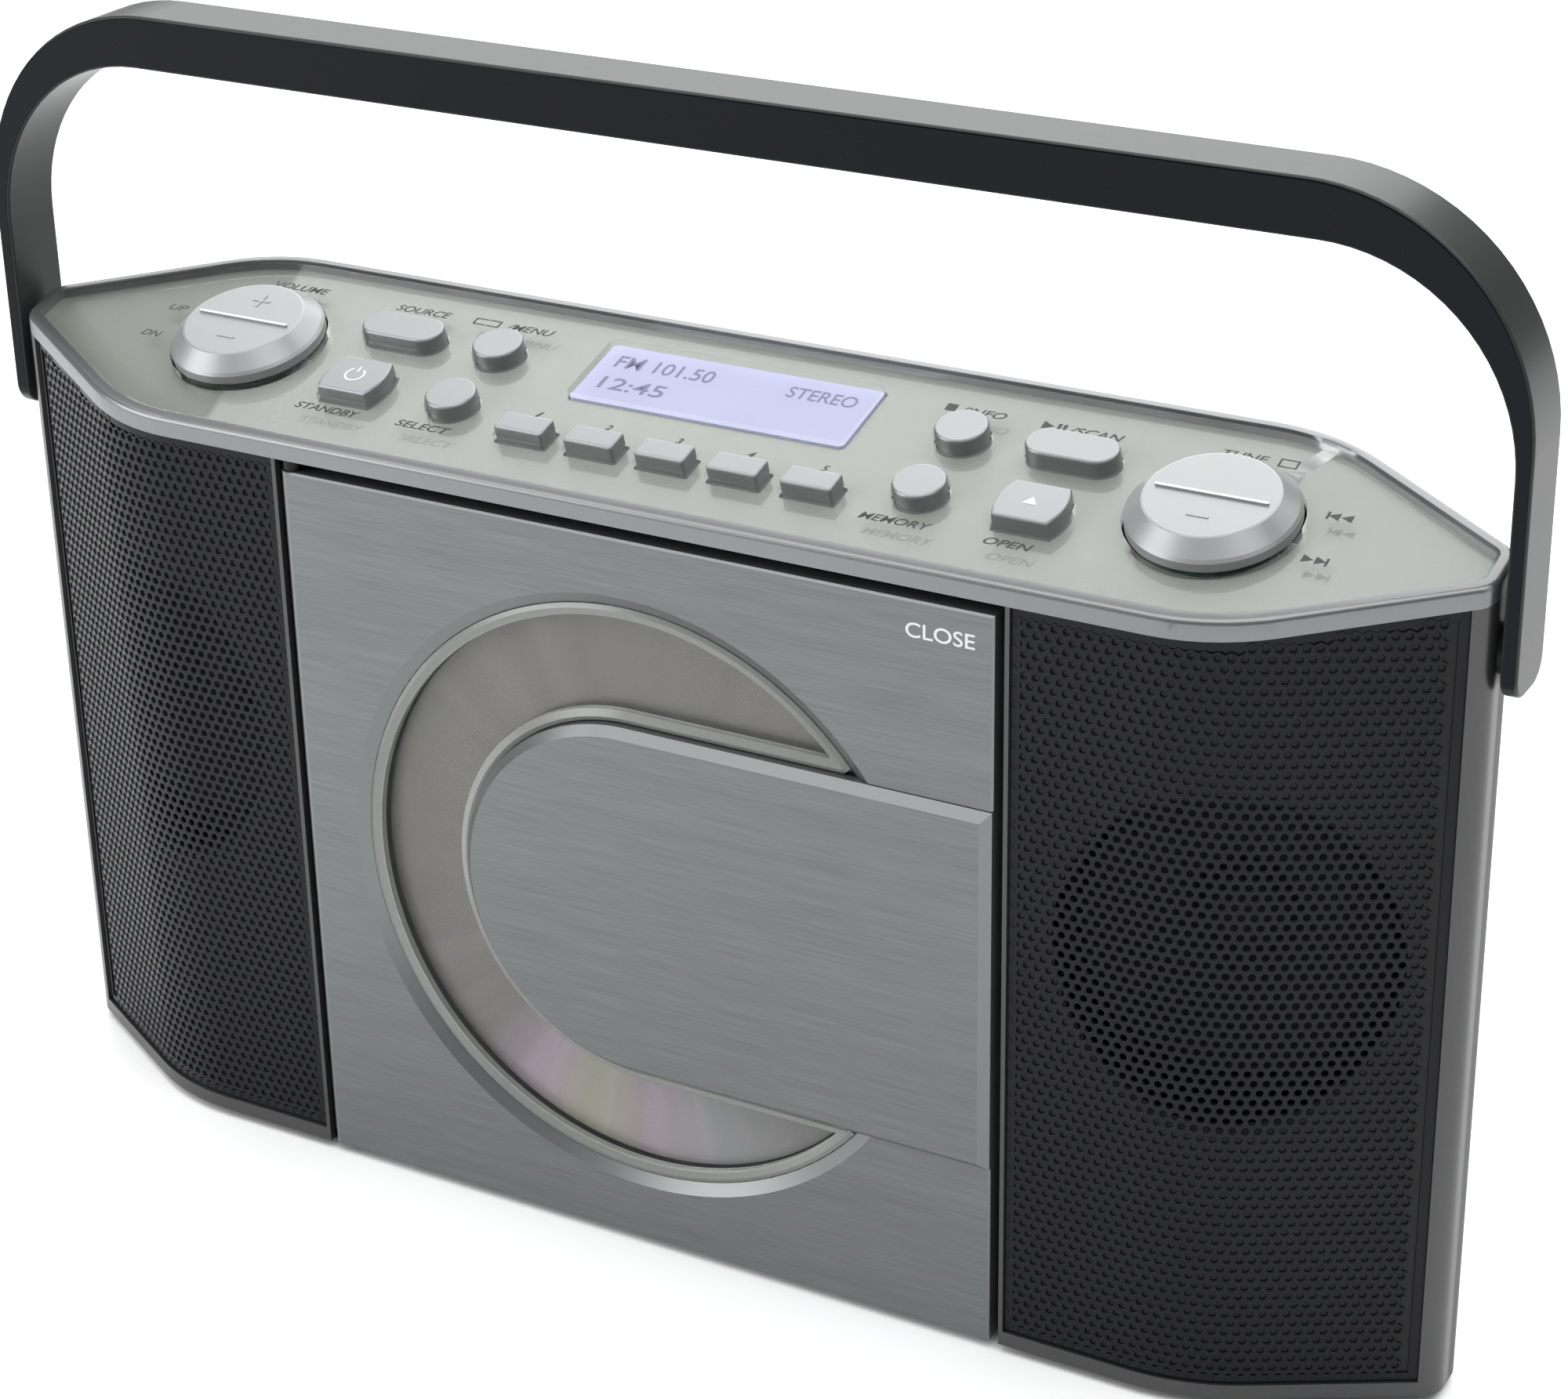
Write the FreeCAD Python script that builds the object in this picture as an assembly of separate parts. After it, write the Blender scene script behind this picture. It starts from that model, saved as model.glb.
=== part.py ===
import FreeCAD, Part
import math
import os

# Portable disc player and radio with a carrying handle.
# Millimetres. X runs along the set, Y from front to back, Z up.
# The origin is at the middle of the feet, on the floor.

V = FreeCAD.Vector

# ---- overall size -------------------------------------------------------------
HALF_LENGTH = 160.5          # middle to the flat ends
FRONT_HALF = 118.5           # middle to the bend of the front
DEPTH = 58.2
END_FLAT = 10.7              # width of the flat ends
BEND_RADIUS = 45.0           # rounding of the front and back bends
END_RADIUS = 5.0             # rounding beside the flat ends
FOOT = 2.0                   # height of the rubber feet
WALL = 2.2
FRONT_WALL = 3.6             # thick enough to sink the grilles into
MIDDLE_Y = -2.0              # the aerial stands further back than the tongue does forward
FRONT = MIDDLE_Y - DEPTH / 2
BACK = MIDDLE_Y + DEPTH / 2

# ---- sloping deck: u along X, v up the slope from the front, h out of it -------
SLOPE = 15.7                 # degrees
DECK_Z = FOOT + 160.6        # height of its surface at the front
RIM_H = 3.66                 # thickness of the rim, square to the deck
RIM_WIDTH = 2.4
PLATE_T = 2.0                # clear plate over the deck
FLOOR_H = -RIM_H
BOARD_H = -9.0               # top of the key board
GLASS_H = -1.8               # face of the display

# ---- door on the front -----------------------------------------------------------
DOOR_LEFT = -78.9
DOOR_RIGHT = 77.3
DOOR_TOP = FOOT + 154.4
DOOR_T = 4.4
DOOR_SKIN = 1.8
HINGE_R = DOOR_T / 2
HINGE_X = DOOR_LEFT + HINGE_R
HINGE_Y = FRONT + HINGE_R
BAY_LEFT = -79.2             # opening the door closes
BAY_RIGHT = 79.4
LUG_TOP = FOOT + 3.0         # height of the door's lower hinge notch

# ---- disc, window and tongue share one centre --------------------------------------
DISC_X = -0.9
DISC_Z = FOOT + 77.4
DISC_R = 60.0
DISC_T = 1.2
DISC_FRONT = FRONT + 4.5
BEVEL_R = 65.1               # outer edge of the shallow bevel round the window
WINDOW_R = 62.7
WINDOW_SINK = 1.5
TONGUE_R = 38.1
TONGUE_RISE = 2.0
TONGUE_BEVEL = 2.0
WELL_R = 62.0
WELL_FLOOR = DISC_FRONT + DISC_T + 2.4
WELL_FRAME = FRONT + DOOR_T + 0.4      # front of the frame behind the door

# ---- rails and screw of the pickup, and the latch -----------------------------------
RAIL_R = 1.5
RAIL_X0 = 8.0
RAIL_X1 = 69.0
RAIL_Y = WELL_FLOOR + 7.0
RAIL_Z = [DISC_Z - 17.0, DISC_Z + 17.0]
SCREW_Z = DISC_Z - 27.0
LATCH_X = 73.0
LATCH_Y = FRONT + 15.0

# ---- handle -----------------------------------------------------------------------------
PIVOT_Y = MIDDLE_Y + 1.8
PIVOT_Z = FOOT + 153.0
HANDLE_HALF = 165.2
HANDLE_LEG = 3.2             # thickness of the legs, seen from the front
HANDLE_TOP = FOOT + 234.3
HANDLE_BAR = 10.8            # thickness of the bar, seen from the front
HANDLE_DEEP = 14.4
HANDLE_OUT_R = 43.0
HANDLE_IN_R = 37.0
HANDLE_END = FOOT + 145.6

# ---- grilles and speakers ----------------------------------------------------------------
GRILLE_START = 80.3          # inner edge, from the middle
GRILLE_RUN = 44.3            # length along the slanting front
SHEET_T = 0.8
SHEET_SINK = 0.6
SPEAKER_X = 118.5            # middle of the mounting face
SPEAKER_Y = FRONT + 17.6
SPEAKER_Z = FOOT + 92.9
SPEAKER_TURN = 12.0          # degrees outward
SPEAKER_HOLE = 33.0
SPEAKER_R = 37.0

# ---- keys on the deck (u, v of the middle) --------------------------------------------
ROCKER_U = 106.2
ROCKER_V = 30.2
ROCKER_R = 16.0
KEY_U = 51.5
KEY_HIGH_V = 40.4
KEY_LOW_V = 22.5
KEY_R = 5.2
WIDE_KEY_U = 74.2
PRESET_PITCH = 15.75
PRESET_V = 17.6
KEY_RISE = 1.6
KEY_GAP = 0.45
DISPLAY_W = 61.2
DISPLAY_V0 = 31.4
DISPLAY_V1 = 50.5

# ---- batteries: two rows of three along the bottom of the back --------------------
CELL_R = 13.1
CELL_L = 50.0
BOX_HALF = 1.5 * CELL_L + 3.5
BOX_Z0 = FOOT + 9.0
BOX_Z1 = BOX_Z0 + 4 * CELL_R + 1.6
BOX_Y0 = BACK - WALL - 2 * CELL_R - 1.2

# ---- aerial folded across the back ----------------------------------------------------------
AERIAL_X = -96.0             # pivot
AERIAL_Y = BACK + 3.4
AERIAL_Z = FOOT + 148.0
AERIAL_TUBES = [(2.5, 176.0), (1.9, 174.0), (1.3, 172.0)]     # radius, length

# ---- sockets and screws --------------------------------------------------------------------
SOCKET_X = 95.5
SOCKET_Z = FOOT + 24.0
SCREW_PLACES = [(x, z) for x in (-146.0, 146.0) for z in (FOOT + 12.0, FOOT + 128.0)]


# ---- small builders --------------------------------------------------------------------

def box(x0, x1, y0, y1, z0, z1):
    return Part.makeBox(x1 - x0, y1 - y0, z1 - z0, V(x0, y0, z0))


def rod(start, end, radius):
    """A round bar between two points."""
    a = V(*start)
    line = V(*end) - a
    return Part.makeCylinder(radius, line.Length, a, line)


def fuse(shapes):
    shapes = list(shapes)
    if len(shapes) == 1:
        return shapes[0]
    return shapes[0].multiFuse(shapes[1:]).removeSplitter()


def group(shapes):
    """Separate solids that share one node."""
    return Part.makeCompound(list(shapes))


def mirror(shape):
    return shape.mirror(V(0, 0, 0), V(1, 0, 0))


def both_sides(shape):
    return [shape, mirror(shape)]


def offset_polygon(points, inset):
    """Moves every side of a counter-clockwise polygon inward."""
    result = []
    count = len(points)
    for i in range(count):
        a, b, c = points[i - 1], points[i], points[(i + 1) % count]
        before = (b - a).normalize()
        after = (c - b).normalize()
        turn = before.x * after.y - before.y * after.x
        back = inset * (1 - before.dot(after)) / turn
        result.append(b + V(-before.y, before.x, 0) * inset - before * back)
    return result


def rounded_face(points, radii):
    """A flat face with its corners rounded; radii match the points."""
    edges = []
    ends = []
    count = len(points)
    for i in range(count):
        a, b, c = points[i - 1], points[i], points[(i + 1) % count]
        to_a = (a - b).normalize()
        to_c = (c - b).normalize()
        half = math.acos(max(-1, min(1, to_a.dot(to_c)))) / 2
        if radii[i] < 1e-6:
            ends.append((b, b, None))
            continue
        reach = radii[i] / math.tan(half)
        centre = b + (to_a + to_c).normalize() * (radii[i] / math.sin(half))
        middle = centre + (b - centre).normalize() * radii[i]
        ends.append((b + to_a * reach, b + to_c * reach, middle))
    for i in range(count):
        start, end, middle = ends[i]
        if middle is not None:
            edges.append(Part.Arc(start, middle, end).toShape())
        following = ends[(i + 1) % count][0]
        if (following - end).Length > 1e-6:
            edges.append(Part.makeLine(end, following))
    return Part.Face(Part.Wire(edges))


def rounded_box(width, depth, height, radius):
    """Standing on z = 0, centred, with its upright corners rounded."""
    x, y = width / 2, depth / 2
    points = [V(-x, -y, 0), V(x, -y, 0), V(x, y, 0), V(-x, y, 0)]
    return rounded_face(points, [radius] * 4).extrude(V(0, 0, height))


def soften_top(solid, radius):
    """Rounds every edge that lies in the highest flat face."""
    top = max(f.BoundBox.ZMin for f in solid.Faces)
    edges = [e for e in solid.Edges if e.BoundBox.ZMin > top - 1e-4]
    return solid.makeFillet(radius, edges)


# ---- plan of the body ----------------------------------------------------------------

def plan_points():
    quarter = [V(FRONT_HALF, FRONT, 0), V(HALF_LENGTH, MIDDLE_Y - END_FLAT / 2, 0)]
    right = quarter + [V(p.x, 2 * MIDDLE_Y - p.y, 0) for p in reversed(quarter)]
    return right + [V(-p.x, 2 * MIDDLE_Y - p.y, 0) for p in right]


def plan(inset, z0, z1):
    """The body's outline moved inward, as an upright prism."""
    big, small = max(BEND_RADIUS - inset, 1), max(END_RADIUS - inset, 1)
    radii = [big, small, small, big] * 2
    face = rounded_face(offset_polygon(plan_points(), inset), radii)
    return face.extrude(V(0, 0, z1 - z0)).translated(V(0, 0, z0))


def on_deck(shape):
    """Places a shape made in u, v, h."""
    result = shape.copy()
    result.Placement = FreeCAD.Placement(
        V(0, FRONT, DECK_Z), FreeCAD.Rotation(V(1, 0, 0), SLOPE)).multiply(shape.Placement)
    return result


def deck_slab(h0, h1, inset=0.0):
    """The part of the body's outline between two heights of the deck."""
    layer = on_deck(box(-200, 200, -60, 120, h0, h1))
    return plan(inset, 100, 230).common(layer)


def below_deck(shape, h=FLOOR_H):
    """Trims a shape to the part under a height of the deck."""
    return shape.cut(on_deck(box(-250, 250, -150, 250, h, h + 150)))


# ---- keys: name, outline width and depth, place ---------------------------------------

def barrel_face(width, depth, bulge):
    """A square with two bowed sides."""
    x, y = width / 2, depth / 2
    edges = [
        Part.makeLine(V(-x, -y, 0), V(x, -y, 0)),
        Part.Arc(V(x, -y, 0), V(x + bulge, 0, 0), V(x, y, 0)).toShape(),
        Part.makeLine(V(x, y, 0), V(-x, y, 0)),
        Part.Arc(V(-x, y, 0), V(-x - bulge, 0, 0), V(-x, -y, 0)).toShape(),
    ]
    return Part.Face(Part.Wire(edges))


def key_outline(kind, grow=0.0):
    if kind == "round":
        circle = Part.Wire(Part.makeCircle(KEY_R + grow))
        return Part.Face(circle)
    if kind == "pill":
        x, y = 9.3 + grow, 4.1 + grow
        return rounded_face([V(-x, -y, 0), V(x, -y, 0), V(x, y, 0), V(-x, y, 0)],
                            [y - 0.01] * 4)
    if kind == "barrel":
        return barrel_face(11.0 + 2 * grow, 11.0 + 2 * grow, 1.3)
    x, y = 5.45 + grow, 2.7 + grow
    return rounded_face([V(-x, -y, 0), V(x, -y, 0), V(x, y, 0), V(-x, y, 0)], [0.6] * 4)


KEYS = {
    "key_source": ("pill", -WIDE_KEY_U, KEY_HIGH_V),
    "key_standby": ("barrel", -WIDE_KEY_U, KEY_LOW_V),
    "key_menu": ("round", -KEY_U, KEY_HIGH_V),
    "key_select": ("round", -KEY_U, KEY_LOW_V),
    "key_info": ("round", KEY_U, KEY_HIGH_V),
    "key_memory": ("round", KEY_U, KEY_LOW_V),
    "key_play": ("pill", WIDE_KEY_U, KEY_HIGH_V),
    "key_open": ("barrel", WIDE_KEY_U, KEY_LOW_V),
}
for number in range(5):
    KEYS["key_preset_%d" % (number + 1)] = ("preset", (number - 2) * PRESET_PITCH, PRESET_V)


def key_prism(name, h0, h1, grow=0.0):
    kind, u, v = KEYS[name]
    solid = key_outline(kind, grow).extrude(V(0, 0, h1 - h0))
    return solid.translated(V(u, v, h0))


def key(name):
    """A cap with a softened top and a flange that holds it under the floor."""
    cap = soften_top(key_prism(name, FLOOR_H - 1.5, KEY_RISE), 0.55)
    flange = key_prism(name, FLOOR_H - 1.5, FLOOR_H - 0.4, 1.0)
    stem_u, stem_v = KEYS[name][1:]
    stem = rod((stem_u, stem_v, FLOOR_H - 1.5), (stem_u, stem_v, key_stem_end(name)), 1.5)
    return on_deck(fuse([cap, flange, stem]))


def key_stem_end(name):
    """Most stems end over a switch; the open key's goes on down to the latch."""
    return BOARD_H - 4.5 if name == "key_open" else BOARD_H + 1.9


def rocker(side):
    """A round two-way key: a bevelled dish on a cross axle, with a ridge across it."""
    profile = [V(0, 0, -1.2), V(ROCKER_R - 0.3, 0, -1.2), V(ROCKER_R, 0, -0.9),
               V(ROCKER_R, 0, 0.9), V(ROCKER_R - 0.5, 0, 1.5), V(12.6, 0, 4.1),
               V(12.2, 0, 4.2), V(0, 0, 4.2)]
    face = Part.Face(Part.makePolygon(profile + profile[:1]))
    dish = face.revolve(V(0, 0, 0), V(0, 0, 1), 360)
    stem = Part.makeCylinder(12.0, 3.6, V(0, 0, -4.8))
    axle = rod((-19.6, 0, -5.4), (19.6, 0, -5.4), 1.2)
    cheeks = box(-12, 12, -3, 3, -6.4, -4.8)
    ridge = rounded_box(21.8, 0.8, 0.6, 0.39).translated(V(0, 0, 4.0))
    lower_mark = box(-2.1, 2.1, -6.8, -6.3, 4.0, 4.35)
    marks = [ridge, lower_mark]
    if side < 0:
        marks.append(box(-0.25, 0.25, 4.5, 8.7, 4.0, 4.35))
        marks.append(box(-2.1, 2.1, 6.35, 6.85, 4.0, 4.35))
    whole = fuse([dish, stem, axle, cheeks] + marks)
    return on_deck(whole.translated(V(side * ROCKER_U, ROCKER_V, 0)))


# ---- deck pieces ---------------------------------------------------------------------------

def deck_openings(gap, h0, h1):
    """Everything that passes through the deck."""
    tools = [key_prism(name, h0, h1, gap) for name in KEYS]
    for side in (-1, 1):
        tools.append(Part.makeCylinder(ROCKER_R + 0.5, h1 - h0, V(side * ROCKER_U, ROCKER_V, h0)))
    return [on_deck(tool) for tool in tools]


def display_block(h0, h1, grow=0.0):
    middle = (DISPLAY_V0 + DISPLAY_V1) / 2
    block = rounded_box(DISPLAY_W + 2 * grow, DISPLAY_V1 - DISPLAY_V0 + 2 * grow, h1 - h0, 1.2)
    return on_deck(block.translated(V(0, middle, h0)))


def top_rim():
    """The metal-coloured rim, with the floor that carries plate and keys."""
    rim = deck_slab(FLOOR_H, 0)
    top = [e for e in rim.Edges if all(abs(deck_height(p.Point)) < 1e-3 for p in e.Vertexes)]
    rim = rim.makeFillet(1.2, top)
    pocket = plan(RIM_WIDTH, 100, 230).common(
        on_deck(box(-200, 200, -60, 120, -PLATE_T - 0.3, 20)))
    rim = rim.cut(pocket).cut(display_block(FLOOR_H - 1, 1, 0.2))
    rim = rim.cut(Part.makeCompound(deck_openings(KEY_GAP, FLOOR_H - 1, 1)))
    saddles = []
    for side in (-1, 1):
        for end in (-1, 1):
            u = side * ROCKER_U + end * 18.4
            block = box(u - 1.2, u + 1.2, ROCKER_V - 3, ROCKER_V + 3, -8, FLOOR_H + 0.3)
            bore = rod((u - 2, ROCKER_V, -5.4), (u + 2, ROCKER_V, -5.4), 1.25)
            saddles.append(on_deck(block.cut(bore)))
    lip = plan(FRONT_WALL + 0.1, 100, 230).cut(plan(FRONT_WALL + 1.6, 100, 230))
    lip = lip.common(on_deck(box(-200, 200, -60, 120, FLOOR_H - 2.4, FLOOR_H + 0.2)))
    lip = lip.cut(box(BAY_LEFT - 2, BAY_RIGHT + 2, FRONT - 5, FRONT + 12, 0, 230))
    return fuse([rim, lip] + saddles)


def deck_height(point):
    angle = math.radians(SLOPE)
    return -math.sin(angle) * (point.y - FRONT) + math.cos(angle) * (point.z - DECK_Z)


def deck_plate():
    """The clear plate over the printed deck."""
    plate = plan(RIM_WIDTH + 0.2, 100, 230).common(
        on_deck(box(-200, 200, -60, 120, -PLATE_T - 0.3, -0.3)))
    top = [e for e in plate.Edges
           if all(abs(deck_height(p.Point) + 0.3) < 1e-3 for p in e.Vertexes)]
    plate = plate.makeChamfer(0.5, top).cut(display_block(-10, 10))
    return plate.cut(Part.makeCompound(deck_openings(KEY_GAP, -10, 10)))


def display():
    """The glass of the display: a wide foot under the floor, its face up in the opening."""
    middle = (DISPLAY_V0 + DISPLAY_V1) / 2
    foot = rounded_box(DISPLAY_W + 3, DISPLAY_V1 - DISPLAY_V0 + 3, 2.6, 1.0)
    foot = on_deck(foot.translated(V(0, middle, FLOOR_H - 2.6)))
    return fuse([foot, display_block(FLOOR_H - 0.5, GLASS_H, -0.15)])


def display_frame():
    """The tray that holds the display glass against the floor."""
    middle = (DISPLAY_V0 + DISPLAY_V1) / 2
    width, depth = DISPLAY_W + 6, DISPLAY_V1 - DISPLAY_V0 + 5.4
    tray = rounded_box(width, depth, -FLOOR_H - BOARD_H + 2 * FLOOR_H, 1.0)
    pocket = rounded_box(DISPLAY_W + 3, DISPLAY_V1 - DISPLAY_V0 + 3, 2.6, 1.0)
    tray = tray.translated(V(0, middle, BOARD_H))
    return on_deck(tray.cut(pocket.translated(V(0, middle, FLOOR_H - 2.6))))


def key_board():
    """The board under the keys with a dome switch below each one."""
    board = box(-84, 84, 12, 52, BOARD_H - 1.6, BOARD_H)
    board = board.cut(key_prism("key_open", BOARD_H - 3, BOARD_H + 1, 1.0))
    board = board.cut(display_tray_room())
    switches = [Part.makeCylinder(2.4, 0.9, V(u, v, BOARD_H))
                for name, (kind, u, v) in KEYS.items() if name != "key_open"]
    return on_deck(fuse([board] + switches))


def display_tray_room():
    middle = (DISPLAY_V0 + DISPLAY_V1) / 2
    room = rounded_box(DISPLAY_W + 7, DISPLAY_V1 - DISPLAY_V0 + 6, 6, 1.0)
    return room.translated(V(0, middle, BOARD_H - 4))


def rocker_boards():
    """Two small boards with a pair of switches under each rocker."""
    boards = []
    for side in (-1, 1):
        u = side * ROCKER_U
        board = box(u - 15, u + 15, ROCKER_V - 12, ROCKER_V + 12, BOARD_H - 1.6, BOARD_H)
        switches = [box(u - 3, u + 3, v - 3, v + 3, BOARD_H, BOARD_H + 2.2)
                    for v in (ROCKER_V - 8, ROCKER_V + 8)]
        boards.append(on_deck(fuse([board] + switches)))
    return group(boards)


def board_posts():
    """Posts that hang the three boards from the deck floor."""
    places = [(x, v) for x in (-80.5, 80.5) for v in (14.0, 50.0)]
    places += [(side * ROCKER_U + u, ROCKER_V + 10.5) for side in (-1, 1) for u in (-13, 13)]
    places += [(side * ROCKER_U + u, ROCKER_V - 10.5) for side in (-1, 1) for u in (-13, 13)]
    posts = [Part.makeCylinder(1.4, FLOOR_H - BOARD_H, V(u, v, BOARD_H)) for u, v in places]
    return group(on_deck(post) for post in posts)


# ---- shells ----------------------------------------------------------------------------------

def grille_band(depth, z0, z1, start):
    """The band of the right front face the grille covers, down to a depth."""
    band = plan(0, z0, z1).cut(plan(depth, z0 - 1, z1 + 1))
    angle = math.atan2((DEPTH - END_FLAT) / 2, HALF_LENGTH - FRONT_HALF)
    along = V(math.cos(angle), math.sin(angle), 0)
    outward = V(math.sin(angle), -math.cos(angle), 0)
    end = V(FRONT_HALF, FRONT, 0) + along * GRILLE_RUN
    limits = [V(start, FRONT - 5, 0), V(FRONT_HALF + 20, FRONT - 5, 0),
              end + outward * 8, end - outward * 8, V(start, FRONT + 14, 0)]
    region = Part.Face(Part.makePolygon(limits + limits[:1])).extrude(V(0, 0, z1 - z0))
    return band.common(region.translated(V(0, 0, z0)))


def speaker_axis():
    angle = math.radians(SPEAKER_TURN)
    return V(SPEAKER_X, SPEAKER_Y, SPEAKER_Z), V(-math.sin(angle), math.cos(angle), 0)


def front_shell():
    """The front half of the case: walls, floor and the baffles behind the grilles."""
    half = box(-200, 200, -60, MIDDLE_Y, 0, 230)
    wall = plan(0, FOOT, 230).cut(plan(FRONT_WALL, FOOT - 1, 231))
    shell = below_deck(fuse([wall, plan(0, FOOT, FOOT + WALL)]).common(half))
    x0, x1 = BAY_LEFT - 1.2, BAY_RIGHT + 1.2
    bay = fuse([box(x0, x1, FRONT - 1, WELL_FRAME + 1.8, 0, 230),
                box(x0, x1, FRONT, FRONT + 13, FOOT + WALL, 230)])
    centre, inward = speaker_axis()
    duct = Part.makeCylinder(SPEAKER_R + 1.5, 60, centre - inward * 60, inward)
    duct = duct.common(plan(3.0, FOOT, 150))
    hole = Part.makeCylinder(SPEAKER_HOLE, 90, centre - inward * 70, inward)
    pocket = grille_band(SHEET_SINK + SHEET_T, FOOT, 200, BAY_RIGHT)
    bosses = [rod((x, MIDDLE_Y - 12, z), (x, MIDDLE_Y, z), 4.0).common(plan(2, 0, 200))
              for x, z in SCREW_PLACES]
    threads = [rod((x, MIDDLE_Y - 8, z), (x, MIDDLE_Y + 1, z), 1.4) for x, z in SCREW_PLACES]
    shell = fuse([shell.cut(bay)] + both_sides(duct) + bosses)
    tools = both_sides(hole) + both_sides(pocket) + threads + [handle_bore()]
    return shell.cut(Part.makeCompound(tools))


def handle_bore():
    return rod((-170, PIVOT_Y, PIVOT_Z), (170, PIVOT_Y, PIVOT_Z), 3.05)


def rear_shell():
    """The back half: walls, floor, battery opening, vents and socket holes."""
    half = box(-200, 200, MIDDLE_Y, 60, 0, 230)
    wall = plan(0, FOOT, 230).cut(plan(WALL, FOOT - 1, 231))
    shell = below_deck(fuse([wall, plan(0, FOOT, FOOT + WALL)]).common(half))
    bosses = [rod((x, MIDDLE_Y, z), (x, BACK, z), 4.0).common(plan(1, 0, 200))
              for x, z in SCREW_PLACES]
    bearings = [box(x - 4, x + 4, MIDDLE_Y, MIDDLE_Y + 9, PIVOT_Z - 6, PIVOT_Z + 6)
                for x in (-155.0, 155.0)]
    bearings = [b.common(plan(0.5, 0, 220)) for b in bearings]
    inlet = rounded_box(18.4, 12.4, 10, 2.2)
    inlet.rotate(V(0, 0, 0), V(1, 0, 0), -90)
    tools = [inlet.translated(V(-SOCKET_X, BACK - 6, SOCKET_Z)),
             rod((SOCKET_X, BACK - 9, SOCKET_Z), (SOCKET_X, BACK + 1, SOCKET_Z), 4.0),
             box(-BOX_HALF - 3, BOX_HALF + 3, BACK - WALL - 1, BACK + 1, BOX_Z0 - 3, BOX_Z1 + 3),
             rod((AERIAL_X, BACK - 9, AERIAL_Z), (AERIAL_X, BACK + 1, AERIAL_Z), 2.05),
             handle_bore()]
    tools += [box(x - 1, x + 1, BACK - 4, BACK + 1, FOOT + 84, FOOT + 116)
              for x in range(-66, 67, 6)]
    tools += [rod((x, MIDDLE_Y - 1, z), (x, 60, z), 1.7) for x, z in SCREW_PLACES]
    tools += [rod((x, MIDDLE_Y + 4, z), (x, 60, z), 3.2) for x, z in SCREW_PLACES]
    return fuse([shell] + bosses + bearings).cut(Part.makeCompound(tools))


def grille(side):
    """A bent sheet of perforated steel."""
    sheet = grille_band(SHEET_SINK + SHEET_T, FOOT + 3.1, 200, GRILLE_START)
    sheet = below_deck(sheet.common(plan(SHEET_SINK, 0, 210)))
    return sheet if side > 0 else mirror(sheet)


def grille_frame(side):
    """The strip beside the door and the rail under the grille, in one piece."""
    strip = box(BAY_RIGHT, GRILLE_START, FRONT, FRONT + SHEET_SINK + SHEET_T, FOOT, 200)
    rail = grille_band(SHEET_SINK + SHEET_T, FOOT, FOOT + 3.1, BAY_RIGHT)
    frame = below_deck(fuse([strip, rail]))
    return frame if side > 0 else mirror(frame)


def feet():
    return group(rod((x, y, 0), (x, y, FOOT), 5.5)
                 for x in (-104.0, 104.0) for y in (MIDDLE_Y - 19, MIDDLE_Y + 19))


def case_screws():
    """Screws from the back that hold the two shells together."""
    return group(fuse([rod((x, MIDDLE_Y - 7.5, z), (x, MIDDLE_Y + 4, z), 1.4),
                       rod((x, MIDDLE_Y + 4, z), (x, MIDDLE_Y + 6, z), 2.9)])
                 for x, z in SCREW_PLACES)


# ---- door ---------------------------------------------------------------------------------

def window_disc(radius, y0, y1):
    return rod((DISC_X, y0, DISC_Z), (DISC_X, y1, DISC_Z), radius)


def tongue_prism(reach, y0, y1):
    """The outline of the tongue, round at the left, open to the door's right edge."""
    radius = TONGUE_R + reach
    bar = box(DISC_X, DOOR_RIGHT, y0, y1, DISC_Z - radius, DISC_Z + radius)
    return fuse([window_disc(radius, y0, y1), bar])


def door_panel():
    """A hollow-backed panel with a round left edge, its window opening bevelled."""
    slab = box(HINGE_X, DOOR_RIGHT, FRONT, FRONT + DOOR_T, FOOT, DOOR_TOP)
    rims = [e for e in slab.Edges
            if e.BoundBox.YMax < FRONT + 1e-3 and e.BoundBox.XMax > HINGE_X + 1]
    slab = slab.makeChamfer(0.4, rims)
    edge = rod((HINGE_X, HINGE_Y, FOOT), (HINGE_X, HINGE_Y, DOOR_TOP), HINGE_R)
    hollow = box(HINGE_X + HINGE_R + 1, DOOR_RIGHT - 2, FRONT + DOOR_SKIN,
                 FRONT + DOOR_T + 1, FOOT + 5, DOOR_TOP - 2)
    ring = window_disc(WINDOW_R + 1.4, FRONT + 1, FRONT + 3.6)
    bevel = Part.makeCone(BEVEL_R, WINDOW_R, WINDOW_SINK, V(DISC_X, FRONT, DISC_Z), V(0, 1, 0))
    opening = fuse([bevel, window_disc(WINDOW_R, FRONT + 1, FRONT + 5)])
    notch = fuse([box(HINGE_X - 4, HINGE_X + 4, FRONT + 0.8, FRONT + 6, FOOT - 1, LUG_TOP),
                  box(HINGE_X - 4, HINGE_X - 1.2, FRONT - 1, FRONT + 6, FOOT - 1, LUG_TOP)])
    panel = fuse([slab.cut(hollow), edge, ring]).cut(fuse([opening, notch]))
    panel = panel.cut(tongue_prism(0.15, FRONT - 1, FRONT + DOOR_SKIN))
    lower_pin = rod((HINGE_X, HINGE_Y, FOOT + 0.5), (HINGE_X, HINGE_Y, LUG_TOP + 1), 0.6)
    upper_pin = rod((HINGE_X, HINGE_Y, DOOR_TOP - 1), (HINGE_X, HINGE_Y, DOOR_TOP + 2.3), 1.0)
    arm = box(70.5, 74.5, FRONT + DOOR_SKIN - 0.5, FRONT + 12, 141, 145)
    barb = box(70.5, 74.5, FRONT + 10, FRONT + 12, 139, 141)
    return fuse([panel, lower_pin, upper_pin, arm, barb])


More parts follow.
